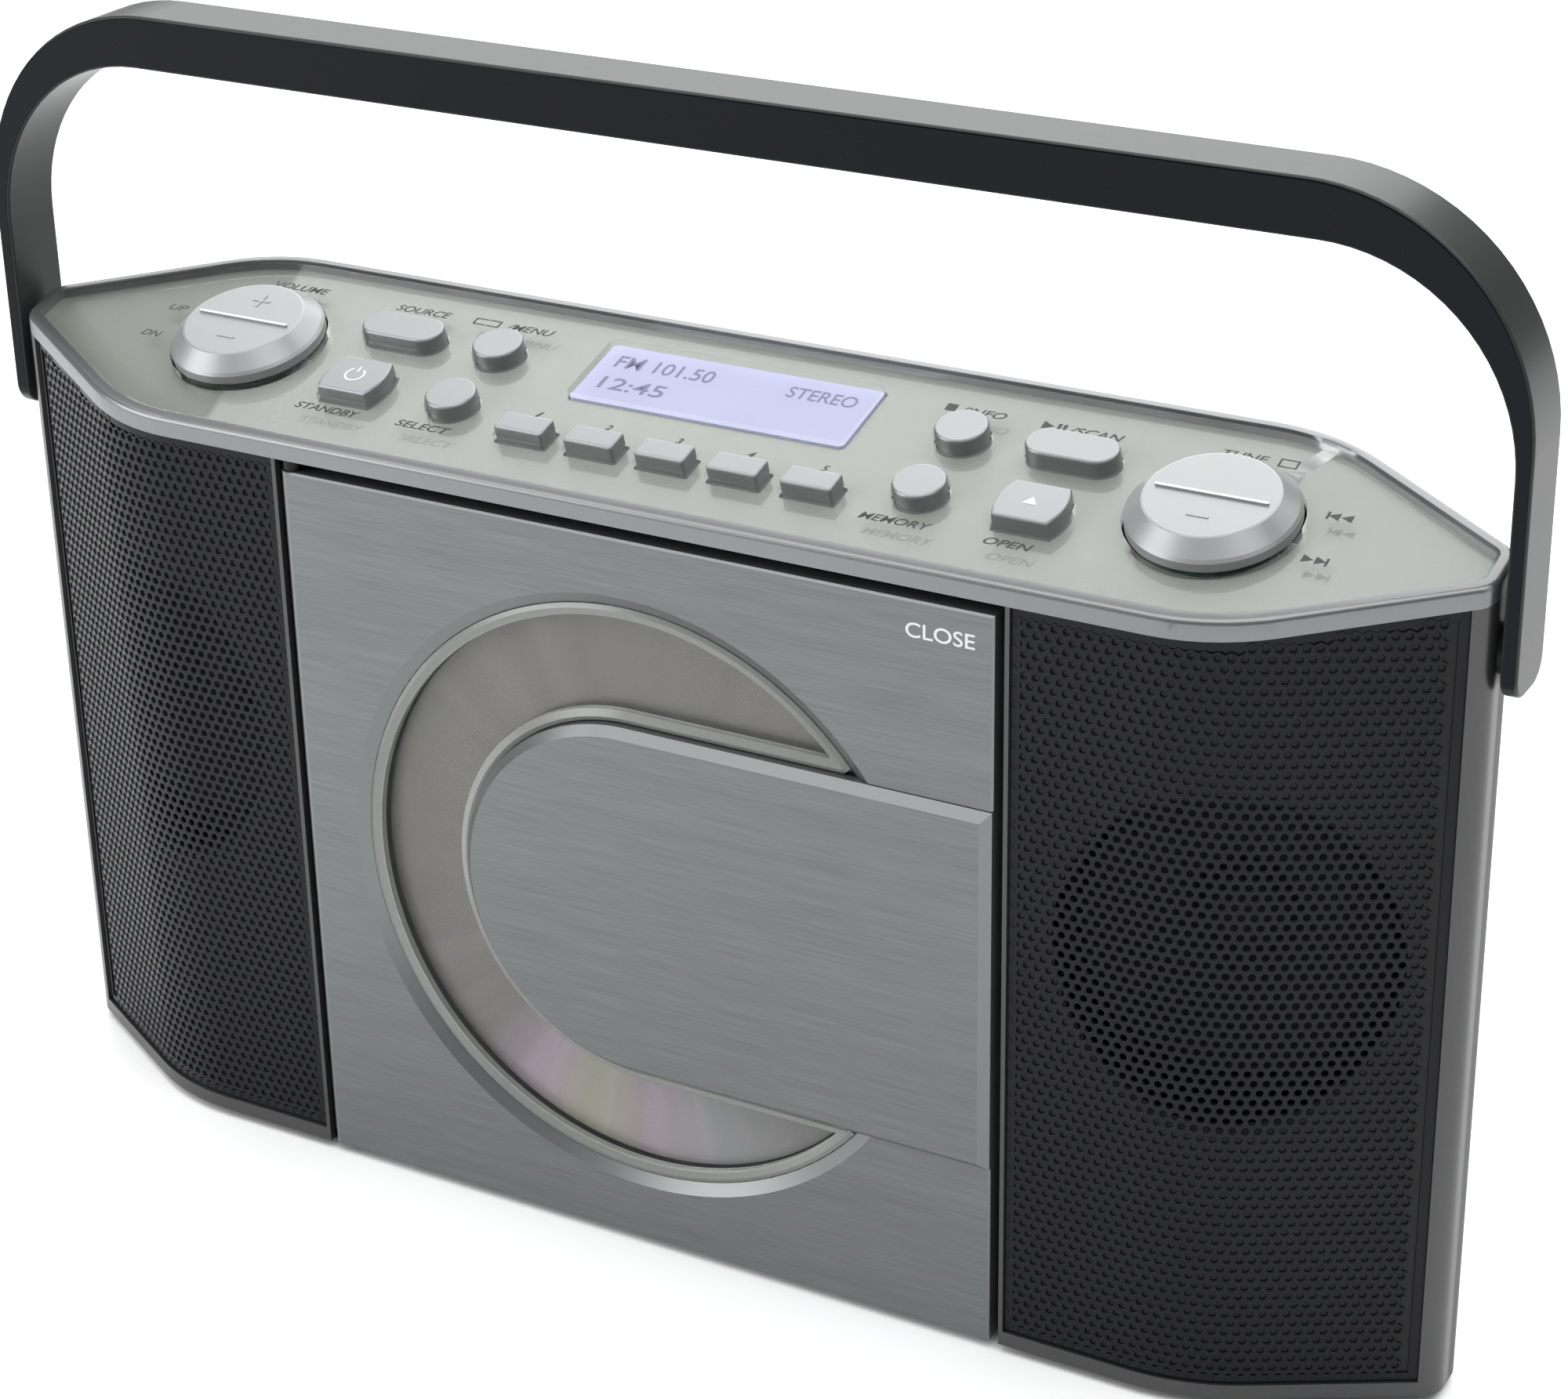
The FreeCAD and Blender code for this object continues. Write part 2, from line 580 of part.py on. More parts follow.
def door_tongue():
    """The raised tongue: a skin with a bevelled edge."""
    skin = tongue_prism(0, FRONT - TONGUE_RISE, FRONT + DOOR_SKIN)
    face = FRONT - TONGUE_RISE
    rims = [e for e in skin.Edges if e.BoundBox.YMax < face + 1e-4]
    skin = skin.makeChamfer(TONGUE_BEVEL * 0.9, rims)
    hollow = tongue_prism(-2.5, FRONT - 0.4, FRONT + 5).common(
        box(-100, DOOR_RIGHT - 3, -60, 0, 0, 200))
    return skin.cut(hollow)


def door_window():
    """The clear crescent between panel and tongue, with a thicker rim."""
    y0 = FRONT + WINDOW_SINK
    plate = window_disc(WINDOW_R, y0, y0 + 2.0).cut(window_disc(DISC_R, y0 - 1, y0 + 0.5))
    lens = plate.cut(tongue_prism(0.15, FRONT - 5, FRONT + 10))
    return max(lens.Solids, key=lambda solid: solid.Volume)


# ---- player -----------------------------------------------------------------------------------

def disc_well():
    """The black bay behind the door: side walls, frame, round well, bearing blocks."""
    y0 = WELL_FRAME
    frame = box(BAY_LEFT - 1.2, BAY_RIGHT + 1.2, y0, y0 + 1.8, FOOT, 200)
    sides = [box(BAY_LEFT - 1.2, BAY_LEFT, FRONT + 1.4, y0, FOOT, 200),
             box(BAY_RIGHT, BAY_RIGHT + 1.2, FRONT + 1.4, y0, FOOT, 200)]
    cup = window_disc(WELL_R + 2, y0, WELL_FLOOR + 1.8)
    well = fuse([below_deck(fuse([frame] + sides)), cup])
    well = well.cut(window_disc(WELL_R, y0 - 1, WELL_FLOOR))
    slot = box(DISC_X + 14, 63.5, WELL_FLOOR - 1, WELL_FLOOR + 3, DISC_Z - 7, DISC_Z + 7)
    tab_slot = box(69.5, 75.5, y0 - 1, y0 + 3, 130, 146.5)
    well = well.cut(fuse([slot, window_disc(3.0, WELL_FLOOR - 1, WELL_FLOOR + 3)])).cut(tab_slot)
    guide = box(68, 78, y0 + 1.8, y0 + 15, 146.6, 149.6).cut(
        box(LATCH_X - 1.8, LATCH_X + 1.8, LATCH_Y - 2.1, LATCH_Y + 2.1, 146, 150))
    lugs = []
    for z0, z1, radius in ((FOOT + 0.3, LUG_TOP - 0.3, 1.1), (DOOR_TOP + 0.4, DOOR_TOP + 2.4, 1.9)):
        lugs.append(rod((HINGE_X, HINGE_Y, z0), (HINGE_X, HINGE_Y, z1), radius))
        lugs.append(box(HINGE_X - 1, HINGE_X + 1, HINGE_Y, y0 + 1, z0, z1))
    blocks = []
    for z in RAIL_Z + [SCREW_Z]:
        blocks.append(box(RAIL_X0 - 4, RAIL_X0, WELL_FLOOR + 1.8, RAIL_Y + 3, z - 3, z + 3))
        blocks.append(box(RAIL_X1, RAIL_X1 + 4, y0 + 1, RAIL_Y + 3, z - 3, z + 3))
    well = fuse([well, guide] + lugs + blocks)
    bores = [rod((RAIL_X0 - 5, RAIL_Y, z), (RAIL_X1 + 5, RAIL_Y, z), RAIL_R) for z in RAIL_Z]
    bores.append(rod((RAIL_X0 - 5, RAIL_Y, SCREW_Z), (RAIL_X1 + 5, RAIL_Y, SCREW_Z), RAIL_R + 0.05))
    bores.append(rod((HINGE_X, HINGE_Y, FOOT), (HINGE_X, HINGE_Y, LUG_TOP), 0.65))
    bores.append(rod((HINGE_X, HINGE_Y, DOOR_TOP), (HINGE_X, HINGE_Y, DOOR_TOP + 3), 1.05))
    return well.cut(Part.makeCompound(bores))


def spindle_motor():
    can = window_disc(12.0, WELL_FLOOR + 1.8, WELL_FLOOR + 12)
    return can.cut(window_disc(1.05, WELL_FLOOR, WELL_FLOOR + 11))


def turntable():
    """The seat, its centring hub and the motor shaft."""
    seat = DISC_FRONT + DISC_T
    nose = Part.makeCone(5.6, 7.45, 1.4, V(DISC_X, DISC_FRONT - 2.2, DISC_Z), V(0, 1, 0))
    return fuse([window_disc(14.0, seat, seat + 1.9),
                 window_disc(7.45, DISC_FRONT - 0.8, seat), nose,
                 window_disc(1.0, seat + 1.9, WELL_FLOOR + 10.5)])


def disc():
    whole = window_disc(DISC_R, DISC_FRONT, DISC_FRONT + DISC_T)
    return whole.cut(window_disc(7.5, DISC_FRONT - 1, DISC_FRONT + DISC_T + 1))


def sled_rails():
    return group(rod((RAIL_X0 - 4, RAIL_Y, z), (RAIL_X1 + 4, RAIL_Y, z), RAIL_R) for z in RAIL_Z)


def pickup():
    """The laser unit: it hangs on two rails, and a nut on the screw moves it."""
    x0, x1 = DISC_X + 15, DISC_X + 34
    body = box(x0, x1, RAIL_Y - 4.6, RAIL_Y + 3, DISC_Z - 21, DISC_Z + 21)
    arm = box(x0 + 5, x0 + 12, RAIL_Y - 3, RAIL_Y + 3, SCREW_Z - 3.2, DISC_Z - 20)
    lens_x = DISC_X + 24
    turret = rod((lens_x, WELL_FLOOR - 0.4, DISC_Z), (lens_x, RAIL_Y, DISC_Z), 5.0)
    lens = rod((lens_x, WELL_FLOOR - 1.2, DISC_Z), (lens_x, RAIL_Y, DISC_Z), 2.2)
    bores = [rod((x0 - 1, RAIL_Y, z), (x1 + 1, RAIL_Y, z), RAIL_R + 0.06) for z in RAIL_Z]
    bores.append(rod((x0, RAIL_Y, SCREW_Z), (x1, RAIL_Y, SCREW_Z), RAIL_R + 0.1))
    return fuse([body, arm, turret, lens]).cut(Part.makeCompound(bores))


def lead_screw():
    """A grooved rod in two bearings, with a coupling disc on the motor's side."""
    core = rod((RAIL_X0 - 8, RAIL_Y, SCREW_Z), (RAIL_X1 + 3.5, RAIL_Y, SCREW_Z), RAIL_R)
    grooves = []
    for turn in range(int((RAIL_X1 - RAIL_X0) / 2) - 1):
        x = RAIL_X0 + 1.5 + 2 * turn
        ring = rod((x, RAIL_Y, SCREW_Z), (x + 0.8, RAIL_Y, SCREW_Z), RAIL_R + 1)
        grooves.append(ring.cut(rod((x, RAIL_Y, SCREW_Z), (x + 0.8, RAIL_Y, SCREW_Z), RAIL_R - 0.3)))
    collar = rod((RAIL_X0 - 7, RAIL_Y, SCREW_Z), (RAIL_X0 - 5, RAIL_Y, SCREW_Z), 3.0)
    return fuse([core.cut(Part.makeCompound(grooves)), collar])


def sled_motor():
    """The small motor that turns the screw, on a foot under the well."""
    x1 = RAIL_X0 - 8.5
    can = rod((x1 - 18, RAIL_Y, SCREW_Z), (x1, RAIL_Y, SCREW_Z), 5.0)
    foot = box(x1 - 14, x1 - 4, WELL_FLOOR + 1.8, RAIL_Y, SCREW_Z - 4, SCREW_Z + 4)
    return fuse([can, foot])


def latch():
    """The slider that hooks the door's barb; the open key pushes it down."""
    x0, x1 = LATCH_X - 1.5, LATCH_X + 1.5
    bar = box(x0, x1, LATCH_Y - 1.8, LATCH_Y + 1.8, 131, 154.9)
    foot = box(x0, x1, FRONT + 7.4, LATCH_Y, 131, 134)
    nose = box(x0, x1, FRONT + 7.4, FRONT + 9.7, 131, 140.7)
    arm = box(x0, LATCH_X + 3.5, LATCH_Y - 1.8, FRONT + 27, 151.9, 154.9)
    return fuse([bar, foot, nose, arm])


# ---- electronics ----------------------------------------------------------------------------

def main_board():
    """The receiver and amplifier board on four posts from the back wall."""
    y0 = MIDDLE_Y + 6
    board = box(-72, 72, y0, y0 + 1.6, BOX_Z1 + 14, FOOT + 146)
    parts = [board]
    for x, z, w, h, rise in ((-40, 110, 26, 26, 4), (10, 104, 20, 14, 2.4), (40, 128, 30, 10, 9),
                             (-14, 134, 16, 10, 6), (56, 98, 12, 12, 7)):
        parts.append(box(x - w / 2, x + w / 2, y0 - rise, y0, z - h / 2, z + h / 2))
    parts += [rod((x, y0 - 8, 92), (x, y0, 92), 4.0) for x in (-60, -50, 24, 34)]
    parts += [rod((x, y0 + 1.6, z), (x, BACK - WALL, z), 2.6) for x in (-70, 70)
              for z in (BOX_Z1 + 17, FOOT + 142)]
    return fuse(parts)


def power_transformer():
    """A laminated core with its winding, on the floor beside the battery box."""
    y0 = MIDDLE_Y - 14
    core = box(-120, -90, y0, y0 + 18, FOOT + WALL, FOOT + 30)
    window = fuse([box(-114.5, -108, y0 - 1, y0 + 19, FOOT + 8, FOOT + 24),
                   box(-102, -95.5, y0 - 1, y0 + 19, FOOT + 8, FOOT + 24)])
    coil = box(-113, -97, y0 - 3, y0 + 21, FOOT + 8.5, FOOT + 23.5)
    return fuse([core.cut(window), coil])


def mains_inlet():
    """The recessed two-pin inlet in the back."""
    body = rounded_box(18.4, 12.4, 14, 2.2)
    well = rounded_box(14.6, 8.4, 10, 2.5).translated(V(0, 0, 4.5))
    pins = [Part.makeCylinder(1.1, 8.5, V(x, 0, 3)) for x in (-3.9, 3.9)]
    flange = rounded_box(22, 16, 1.2, 2.5).translated(V(0, 0, 10.6))
    whole = fuse([fuse([body, flange]).cut(well)] + pins)
    whole.rotate(V(0, 0, 0), V(1, 0, 0), -90)
    return whole.translated(V(-SOCKET_X, BACK - 14, SOCKET_Z))


def headphone_jack():
    x, z = SOCKET_X, SOCKET_Z
    block = box(x - 5.5, x + 5.5, BACK - WALL - 12, BACK - WALL, z - 5.5, z + 5.5)
    nose = rod((x, BACK - WALL, z), (x, BACK - 0.2, z), 3.9)
    return fuse([block, nose]).cut(rod((x, BACK - 13, z), (x, BACK, z), 1.8))


def battery_box():
    """A tray open to the back, with a shelf between its two rows of cells."""
    outer = box(-BOX_HALF - 1.6, BOX_HALF + 1.6, BOX_Y0 - 1.6, BACK - WALL, BOX_Z0 - 1.6, BOX_Z1 + 1.6)
    flange = box(-BOX_HALF - 5, BOX_HALF + 5, BACK - WALL - 1.6, BACK - WALL, BOX_Z0 - 5, BOX_Z1 + 5)
    inner = box(-BOX_HALF, BOX_HALF, BOX_Y0, BACK + 1, BOX_Z0, BOX_Z1)
    middle = (BOX_Z0 + BOX_Z1) / 2
    shelf = box(-BOX_HALF, BOX_HALF, BOX_Y0, BOX_Y0 + 12, middle - 0.8, middle + 0.8)
    return fuse([fuse([outer, flange]).cut(inner), shelf])


def battery_contacts():
    """Spring plates at one end of each row and flat plates at the other."""
    parts = []
    for row in (0, 1):
        z = BOX_Z0 + CELL_R + row * (2 * CELL_R + 1.6)
        y = BOX_Y0 + CELL_R + 0.6
        for side in (-1, 1):
            x = side * BOX_HALF
            plate = box(min(x, x - side * 0.5), max(x, x - side * 0.5), y - 7, y + 7, z - 7, z + 7)
            if (side > 0) == (row == 0):
                cone = Part.makeCone(5.0, 2.5, 2.6, V(x - side * 0.5, y, z), V(-side, 0, 0))
                plate = fuse([plate, cone])
            parts.append(plate)
    return group(parts)


def battery_door():
    """The cover of the battery box, with a finger groove and two tabs."""
    x, gap = BOX_HALF + 3, 0.35
    lid = box(-x + gap, x - gap, BACK - WALL + 0.3, BACK, BOX_Z0 - 3 + gap, BOX_Z1 + 3 - gap)
    rib = box(-30, 30, BACK - WALL - 1.5, BACK - WALL + 1, BOX_Z0 + 2, BOX_Z0 + 3.5)
    grip = [box(-12, 12, BACK - 0.6, BACK + 1, z, z + 1.2) for z in
            (BOX_Z1 - 6, BOX_Z1 - 3.5, BOX_Z1 - 1)]
    return fuse([lid, rib]).cut(Part.makeCompound(grip))


# ---- speakers -----------------------------------------------------------------------------

def on_speaker(shape):
    """Places a shape made with the mounting face at z = 0 and its magnet towards +z."""
    centre, inward = speaker_axis()
    result = shape.copy()
    turn = FreeCAD.Rotation(V(0, 0, 1), inward)
    result.Placement = FreeCAD.Placement(centre, turn).multiply(shape.Placement)
    return result


def spun(points):
    """A solid turned about Z from (radius, z) points."""
    outline = [V(r, 0, z) for r, z in points]
    return Part.Face(Part.makePolygon(outline + outline[:1])).revolve(V(0, 0, 0), V(0, 0, 1), 360)


def speaker_frames():
    """Pressed baskets with four windows."""
    basket = spun([(33.0, 0), (SPEAKER_R, 0), (SPEAKER_R, 1.4), (33.5, 1.4), (22.5, 17.5),
                   (11.0, 17.5), (11.0, 16.1), (21.6, 16.1), (32.2, 1.4)])
    windows = []
    for quarter in range(4):
        slot = box(-11, 11, 18, 40, 4.5, 13.5)
        slot.rotate(V(0, 0, 0), V(0, 0, 1), 45 + 90 * quarter)
        windows.append(slot)
    frame = on_speaker(basket.cut(Part.makeCompound(windows)))
    return group(both_sides(frame))


def speaker_surrounds():
    """Rolled rubber edges."""
    ring = spun([(33.0, 0), (32.2, 1.4), (30.4, 1.4), (28.6, -0.6), (26.4, 1.2), (26.4, 0.4),
                 (28.6, -1.4), (30.6, 0.4)])
    return group(both_sides(on_speaker(ring)))


def speaker_cones():
    """Paper cones with a domed cap over the voice coil."""
    cone = spun([(26.4, 0.4), (26.4, 1.2), (10.5, 11.0), (10.5, 20.0), (9.7, 20.0), (9.7, 10.6)])
    dome = Part.makeSphere(13.0, V(0, 0, 18.6)).cut(Part.makeSphere(12.4, V(0, 0, 18.6)))
    cap = dome.common(Part.makeCylinder(9.9, 8, V(0, 0, 4)))
    return group(both_sides(on_speaker(fuse([cone, cap]))))


def speaker_magnets():
    """Ring magnets and plates, with the pole inside the voice coil."""
    magnet = spun([(11.2, 17.5), (17, 17.5), (17, 27), (0, 27), (0, 15), (9.0, 15), (9.0, 24),
                   (11.2, 24)])
    return group(both_sides(on_speaker(magnet)))


# ---- handle --------------------------------------------------------------------------------

def handle():
    """A flat bail with large corners, and a stub in each leg to turn on."""
    y0 = PIVOT_Y - HANDLE_DEEP / 2
    inner_x, inner_top = HANDLE_HALF - HANDLE_LEG, HANDLE_TOP - HANDLE_BAR
    outer = [V(-HANDLE_HALF, 0, 0), V(HANDLE_HALF, 0, 0),
             V(HANDLE_HALF, HANDLE_TOP - HANDLE_END, 0), V(-HANDLE_HALF, HANDLE_TOP - HANDLE_END, 0)]
    inner = [V(-inner_x, -5, 0), V(inner_x, -5, 0),
             V(inner_x, inner_top - HANDLE_END, 0), V(-inner_x, inner_top - HANDLE_END, 0)]
    whole = rounded_face(outer, [0, 0, HANDLE_OUT_R, HANDLE_OUT_R]).extrude(V(0, 0, HANDLE_DEEP))
    space = rounded_face(inner, [0, 0, HANDLE_IN_R, HANDLE_IN_R]).extrude(V(0, 0, HANDLE_DEEP))
    bail = whole.cut(space)
    bail.rotate(V(0, 0, 0), V(1, 0, 0), 90)
    bail = bail.translated(V(0, y0 + HANDLE_DEEP, HANDLE_END))
    corners = [e for e in bail.Edges if e.BoundBox.ZMax < HANDLE_END + 1e-3
               and e.BoundBox.YLength < 1e-3]
    bail = bail.makeFillet(5.0, corners)
    outline = [e for e in bail.Edges if e.BoundBox.YLength < 1e-3]
    bail = bail.makeFillet(0.7, outline)
    stubs = [rod((x * (inner_x + 0.5), PIVOT_Y, PIVOT_Z), (x * 152.0, PIVOT_Y, PIVOT_Z), 3.0)
             for x in (-1, 1)]
    return fuse([bail] + stubs)


def handle_washers():
    """Friction washers between the legs and the case."""
    return group(rod((side * HALF_LENGTH, PIVOT_Y, PIVOT_Z),
                     (side * (HALF_LENGTH + 1.2), PIVOT_Y, PIVOT_Z), 4.6).cut(handle_bore())
                 for side in (-1, 1))


# ---- aerial ----------------------------------------------------------------------------------

def aerial_knuckle():
    """A fork on a pin in the back wall; it carries the hinge pin of the rod."""
    x, y, z = AERIAL_X, AERIAL_Y, AERIAL_Z
    pin = rod((x, BACK - 6, z), (x, BACK + 0.9, z), 2.0)
    base = rod((x, BACK + 0.3, z), (x, BACK + 0.9, z), 5.0)
    ears = [box(x - 3, x + 3, BACK + 0.6, y + 2.6, z + a, z + a + 1.6) for a in (-3.4, 1.8)]
    hinge = rod((x, y, z - 3.4), (x, y, z + 3.4), 0.9)
    return fuse([pin, base, hinge] + ears)


def aerial_tube(level):
    """One telescoping tube, hollow where a thinner one slides in it."""
    radius, length = AERIAL_TUBES[level]
    x0 = AERIAL_X + 5 + level * 2
    tube = rod((x0, AERIAL_Y, AERIAL_Z), (x0 + length, AERIAL_Y, AERIAL_Z), radius)
    if level < 2:
        bore = AERIAL_TUBES[level + 1][0] + 0.05
        tube = tube.cut(rod((x0 + 1, AERIAL_Y, AERIAL_Z),
                            (x0 + length + 1, AERIAL_Y, AERIAL_Z), bore))
    if level == 0:
        eye = rod((AERIAL_X, AERIAL_Y, AERIAL_Z - 1.5), (AERIAL_X, AERIAL_Y, AERIAL_Z + 1.5), 2.2)
        neck = box(AERIAL_X, x0 + 0.5, AERIAL_Y - 1.4, AERIAL_Y + 1.4, AERIAL_Z - 1.4, AERIAL_Z + 1.4)
        hole = rod((AERIAL_X, AERIAL_Y, AERIAL_Z - 3), (AERIAL_X, AERIAL_Y, AERIAL_Z + 3), 0.95)
        tube = fuse([tube, eye, neck]).cut(hole)
    if level == 2:
        end = x0 + length
        knob = rod((end + 0.1, AERIAL_Y, AERIAL_Z), (end + 4, AERIAL_Y, AERIAL_Z), 2.3)
        neck = rod((end - 1, AERIAL_Y, AERIAL_Z), (end + 1, AERIAL_Y, AERIAL_Z), radius)
        tube = fuse([tube, neck, knob])
    return tube


# ---- every piece, one file each --------------------------------------------------------------

def pieces():
    result = {
        "front_shell": front_shell(),
        "rear_shell": rear_shell(),
        "top_rim": top_rim(),
        "deck_plate": deck_plate(),
        "display": display(),
        "display_frame": display_frame(),
        "key_board": key_board(),
        "rocker_boards": rocker_boards(),
        "board_posts": board_posts(),
        "grille_left": grille(-1),
        "grille_right": grille(1),
        "grille_frame_left": grille_frame(-1),
        "grille_frame_right": grille_frame(1),
        "speaker_frames": speaker_frames(),
        "speaker_surrounds": speaker_surrounds(),
        "speaker_cones": speaker_cones(),
        "speaker_magnets": speaker_magnets(),
        "disc_well": disc_well(),
        "spindle_motor": spindle_motor(),
        "sled_rails": sled_rails(),
        "sled_motor": sled_motor(),
        "main_board": main_board(),
        "power_transformer": power_transformer(),
        "mains_inlet": mains_inlet(),
        "headphone_jack": headphone_jack(),
        "battery_box": battery_box(),
        "battery_contacts": battery_contacts(),
        "feet": feet(),
        "case_screws": case_screws(),
        "handle_washers": handle_washers(),
        "handle": handle(),
        "door_panel": door_panel(),
        "door_tongue": door_tongue(),
        "door_window": door_window(),
        "turntable": turntable(),
        "disc": disc(),
        "pickup": pickup(),
        "lead_screw": lead_screw(),
        "latch": latch(),
        "rocker_volume": rocker(-1),
        "rocker_tune": rocker(1),
        "aerial_knuckle": aerial_knuckle(),
        "aerial_outer": aerial_tube(0),
        "aerial_middle": aerial_tube(1),
        "aerial_tip": aerial_tube(2),
        "battery_door": battery_door(),
    }
    for name in KEYS:
        result[name] = key(name)
    return result


os.makedirs("parts", exist_ok=True)
for node, shape in pieces().items():
    shape.exportStep("parts/" + node + ".step")
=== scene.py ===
# %% [markdown]
# # A slim portable disc player and radio
# The set stands on a pale floor. Its moving parts and every size come from a packed engineering
# model, which this script loads as a frame. Blender adds what the eye needs: the perforated
# grilles, printed legends, the brushed door, clear plastic and the light.

# %% Load the frame
import math
from functools import partial

import bmesh
import bpy
from mathutils import Matrix, Vector


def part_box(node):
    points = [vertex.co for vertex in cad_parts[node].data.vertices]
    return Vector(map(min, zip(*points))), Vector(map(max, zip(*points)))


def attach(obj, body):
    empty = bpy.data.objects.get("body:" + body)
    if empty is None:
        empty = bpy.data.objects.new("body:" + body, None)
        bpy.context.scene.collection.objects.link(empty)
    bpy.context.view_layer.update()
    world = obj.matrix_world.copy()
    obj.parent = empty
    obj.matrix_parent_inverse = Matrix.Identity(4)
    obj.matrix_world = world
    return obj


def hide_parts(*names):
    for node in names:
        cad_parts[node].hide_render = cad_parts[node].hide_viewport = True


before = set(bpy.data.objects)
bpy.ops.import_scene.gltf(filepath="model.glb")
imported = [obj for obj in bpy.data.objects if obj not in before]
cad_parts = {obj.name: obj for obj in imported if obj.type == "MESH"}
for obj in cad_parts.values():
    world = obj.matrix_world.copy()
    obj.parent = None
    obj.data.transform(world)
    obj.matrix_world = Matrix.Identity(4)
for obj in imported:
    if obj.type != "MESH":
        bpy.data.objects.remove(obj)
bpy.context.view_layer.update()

# %% [markdown]
# Lengths are in metres, so a millimetre gets a name. The deck on top of the set slopes down to
# the front. Anything on it is easier to place in the deck's own directions: u along the set, v
# up the slope and h square out of it. One matrix turns those into the set's own directions.
# Each point could be worked out by hand, but its numbers wouldn't say where on the deck it is.

# %% Lengths and the sloping deck
MM = 0.001
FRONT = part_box("top_rim")[0].y
FLOOR_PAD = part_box("feet")[1].z
SLOPE = math.radians(15.7)
DECK_FRONT = FLOOR_PAD + 160.6 * MM
PRINT_H = -2.3 * MM
DISC_X = (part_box("disc")[0].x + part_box("disc")[1].x) / 2
DISC_Z = (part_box("disc")[0].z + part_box("disc")[1].z) / 2
DECK = Matrix.Translation((0, FRONT, DECK_FRONT)) @ Matrix.Rotation(SLOPE, 4, "X")
print("disc centre", round(DISC_X, 4), round(DISC_Z, 4))

# %% [markdown]
# The camera is a long lens held a little above and to the right of the set. Three angles could
# be typed in. Aiming it at a point on the front, and then leaning it by a degree, keeps the
# framing easy to change.

# %% Camera
camera_data = bpy.data.cameras.new("camera")
camera_data.lens = 82.1
camera_data.sensor_width = 36
camera = bpy.data.objects.new("camera", camera_data)
camera.location = (0.3297, FRONT - 0.5197, 0.4132)
aim = Vector((0.03433, FRONT, 0.13106)) - camera.location
lean = Matrix.Rotation(math.radians(-1.114), 4, "Z")
camera.rotation_euler = (aim.to_track_quat("-Z", "Y").to_matrix().to_4x4() @ lean).to_euler()
bpy.context.collection.objects.link(camera)
bpy.context.scene.camera = camera
print("camera distance", round(aim.length, 3))

# %% [markdown]
# A product like this is shot on white. The floor is a plain pale sheet under four soft lamps.
# The widest hangs overhead, where the deck and the handle mirror it. One at the left front and
# one behind draw long highlights on the rounded edges, and a weak one at the right fills in. A
# studio panorama could light it too, but lamps need no file. The sky looks brighter to the
# camera than to the set, so the backdrop stays white and the set dark.

# %% Floor and light
SKY_LIGHT = 0.24
SKY_SEEN_MORE = 0.7


def add_floor():
    bpy.ops.mesh.primitive_plane_add(size=60)
    floor = bpy.context.object
    floor.name = "floor"
    material = bpy.data.materials.new("pale_floor")
    material.use_nodes = True
    shader = material.node_tree.nodes["Principled BSDF"]
    shader.inputs["Base Color"].default_value = (0.93, 0.93, 0.93, 1)
    shader.inputs["Roughness"].default_value = 0.9
    floor.data.materials.append(material)


def add_lamp(name, place, target, size, power):
    data = bpy.data.lights.new(name, "AREA")
    data.shape = "RECTANGLE"
    data.size, data.size_y = size
    data.energy = power
    lamp = bpy.data.objects.new(name, data)
    lamp.location = place
    lamp.rotation_euler = (Vector(target) - Vector(place)).to_track_quat("-Z", "Y").to_euler()
    bpy.context.collection.objects.link(lamp)


add_floor()
add_lamp("overhead", (0.1, 0.7, 1.7), (0.1, 0.7, 0), (3.1, 3.8), 96)
add_lamp("left_front", (-1.5, -1.2, 0.9), (0, 0, 0.1), (1.4, 1.2), 24)
add_lamp("behind", (-1.1, 2.0, 1.2), (0, 0, 0.2), (2.8, 1.0), 24)
add_lamp("right", (1.6, -0.3, 0.8), (0, 0, 0.1), (1.0, 1.2), 3)
world = bpy.data.worlds.new("studio")
world.use_nodes = True
sky = world.node_tree
background = sky.nodes["Background"]
background.inputs["Color"].default_value = (0.95, 0.97, 1.0, 1)
seen = sky.nodes.new("ShaderNodeLightPath").outputs["Is Camera Ray"]
strength = sky.nodes.new("ShaderNodeMath")
strength.operation = "MULTIPLY_ADD"
strength.inputs[1].default_value = SKY_SEEN_MORE
strength.inputs[2].default_value = SKY_LIGHT
sky.links.new(seen, strength.inputs[0])
sky.links.new(strength.outputs[0], background.inputs["Strength"])
bpy.context.scene.world = world
bpy.context.scene.view_settings.view_transform = "Standard"

# %% [markdown]
# Node trees are long to write out. One helper adds a node, sets its options and either links
# or fills its inputs in order. Trees could be drawn in the node editor, but then they would
# live in a file beside the script. The helper serves shader and geometry trees alike.

# %% Node helpers
def add(tree, kind, *inputs, **options):
    node = tree.nodes.new(kind)
    for key, value in options.items():
        setattr(node, key, value)
    for index, value in enumerate(inputs):
        if isinstance(value, bpy.types.NodeSocket):
            tree.links.new(value, node.inputs[index])
        elif value is not None:
            node.inputs[index].default_value = value
    return node


def fill(node, **values):
    """Fills inputs by name; an underscore stands for a space."""
    for name, value in values.items():
        node.inputs[name.replace("_", " ")].default_value = value


def math_node(tree, operation, *inputs):
    """One sum on numbers. The trees below call it calc, with their own tree filled in."""
    return add(tree, "ShaderNodeMath", *inputs, operation=operation).outputs[0]


def new_group(kind, name, inputs, outputs):
    """A node group with its sockets; each is (name, socket type, default value)."""
    tree = bpy.data.node_groups.new(name, kind)
    for title, socket_type, value in inputs:
        socket = tree.interface.new_socket(title, in_out="INPUT", socket_type=socket_type)
        if value is not None:
            socket.default_value = value
    for title, socket_type in outputs:
        tree.interface.new_socket(title, in_out="OUTPUT", socket_type=socket_type)
    return tree, tree.nodes.new("NodeGroupInput"), tree.nodes.new("NodeGroupOutput")


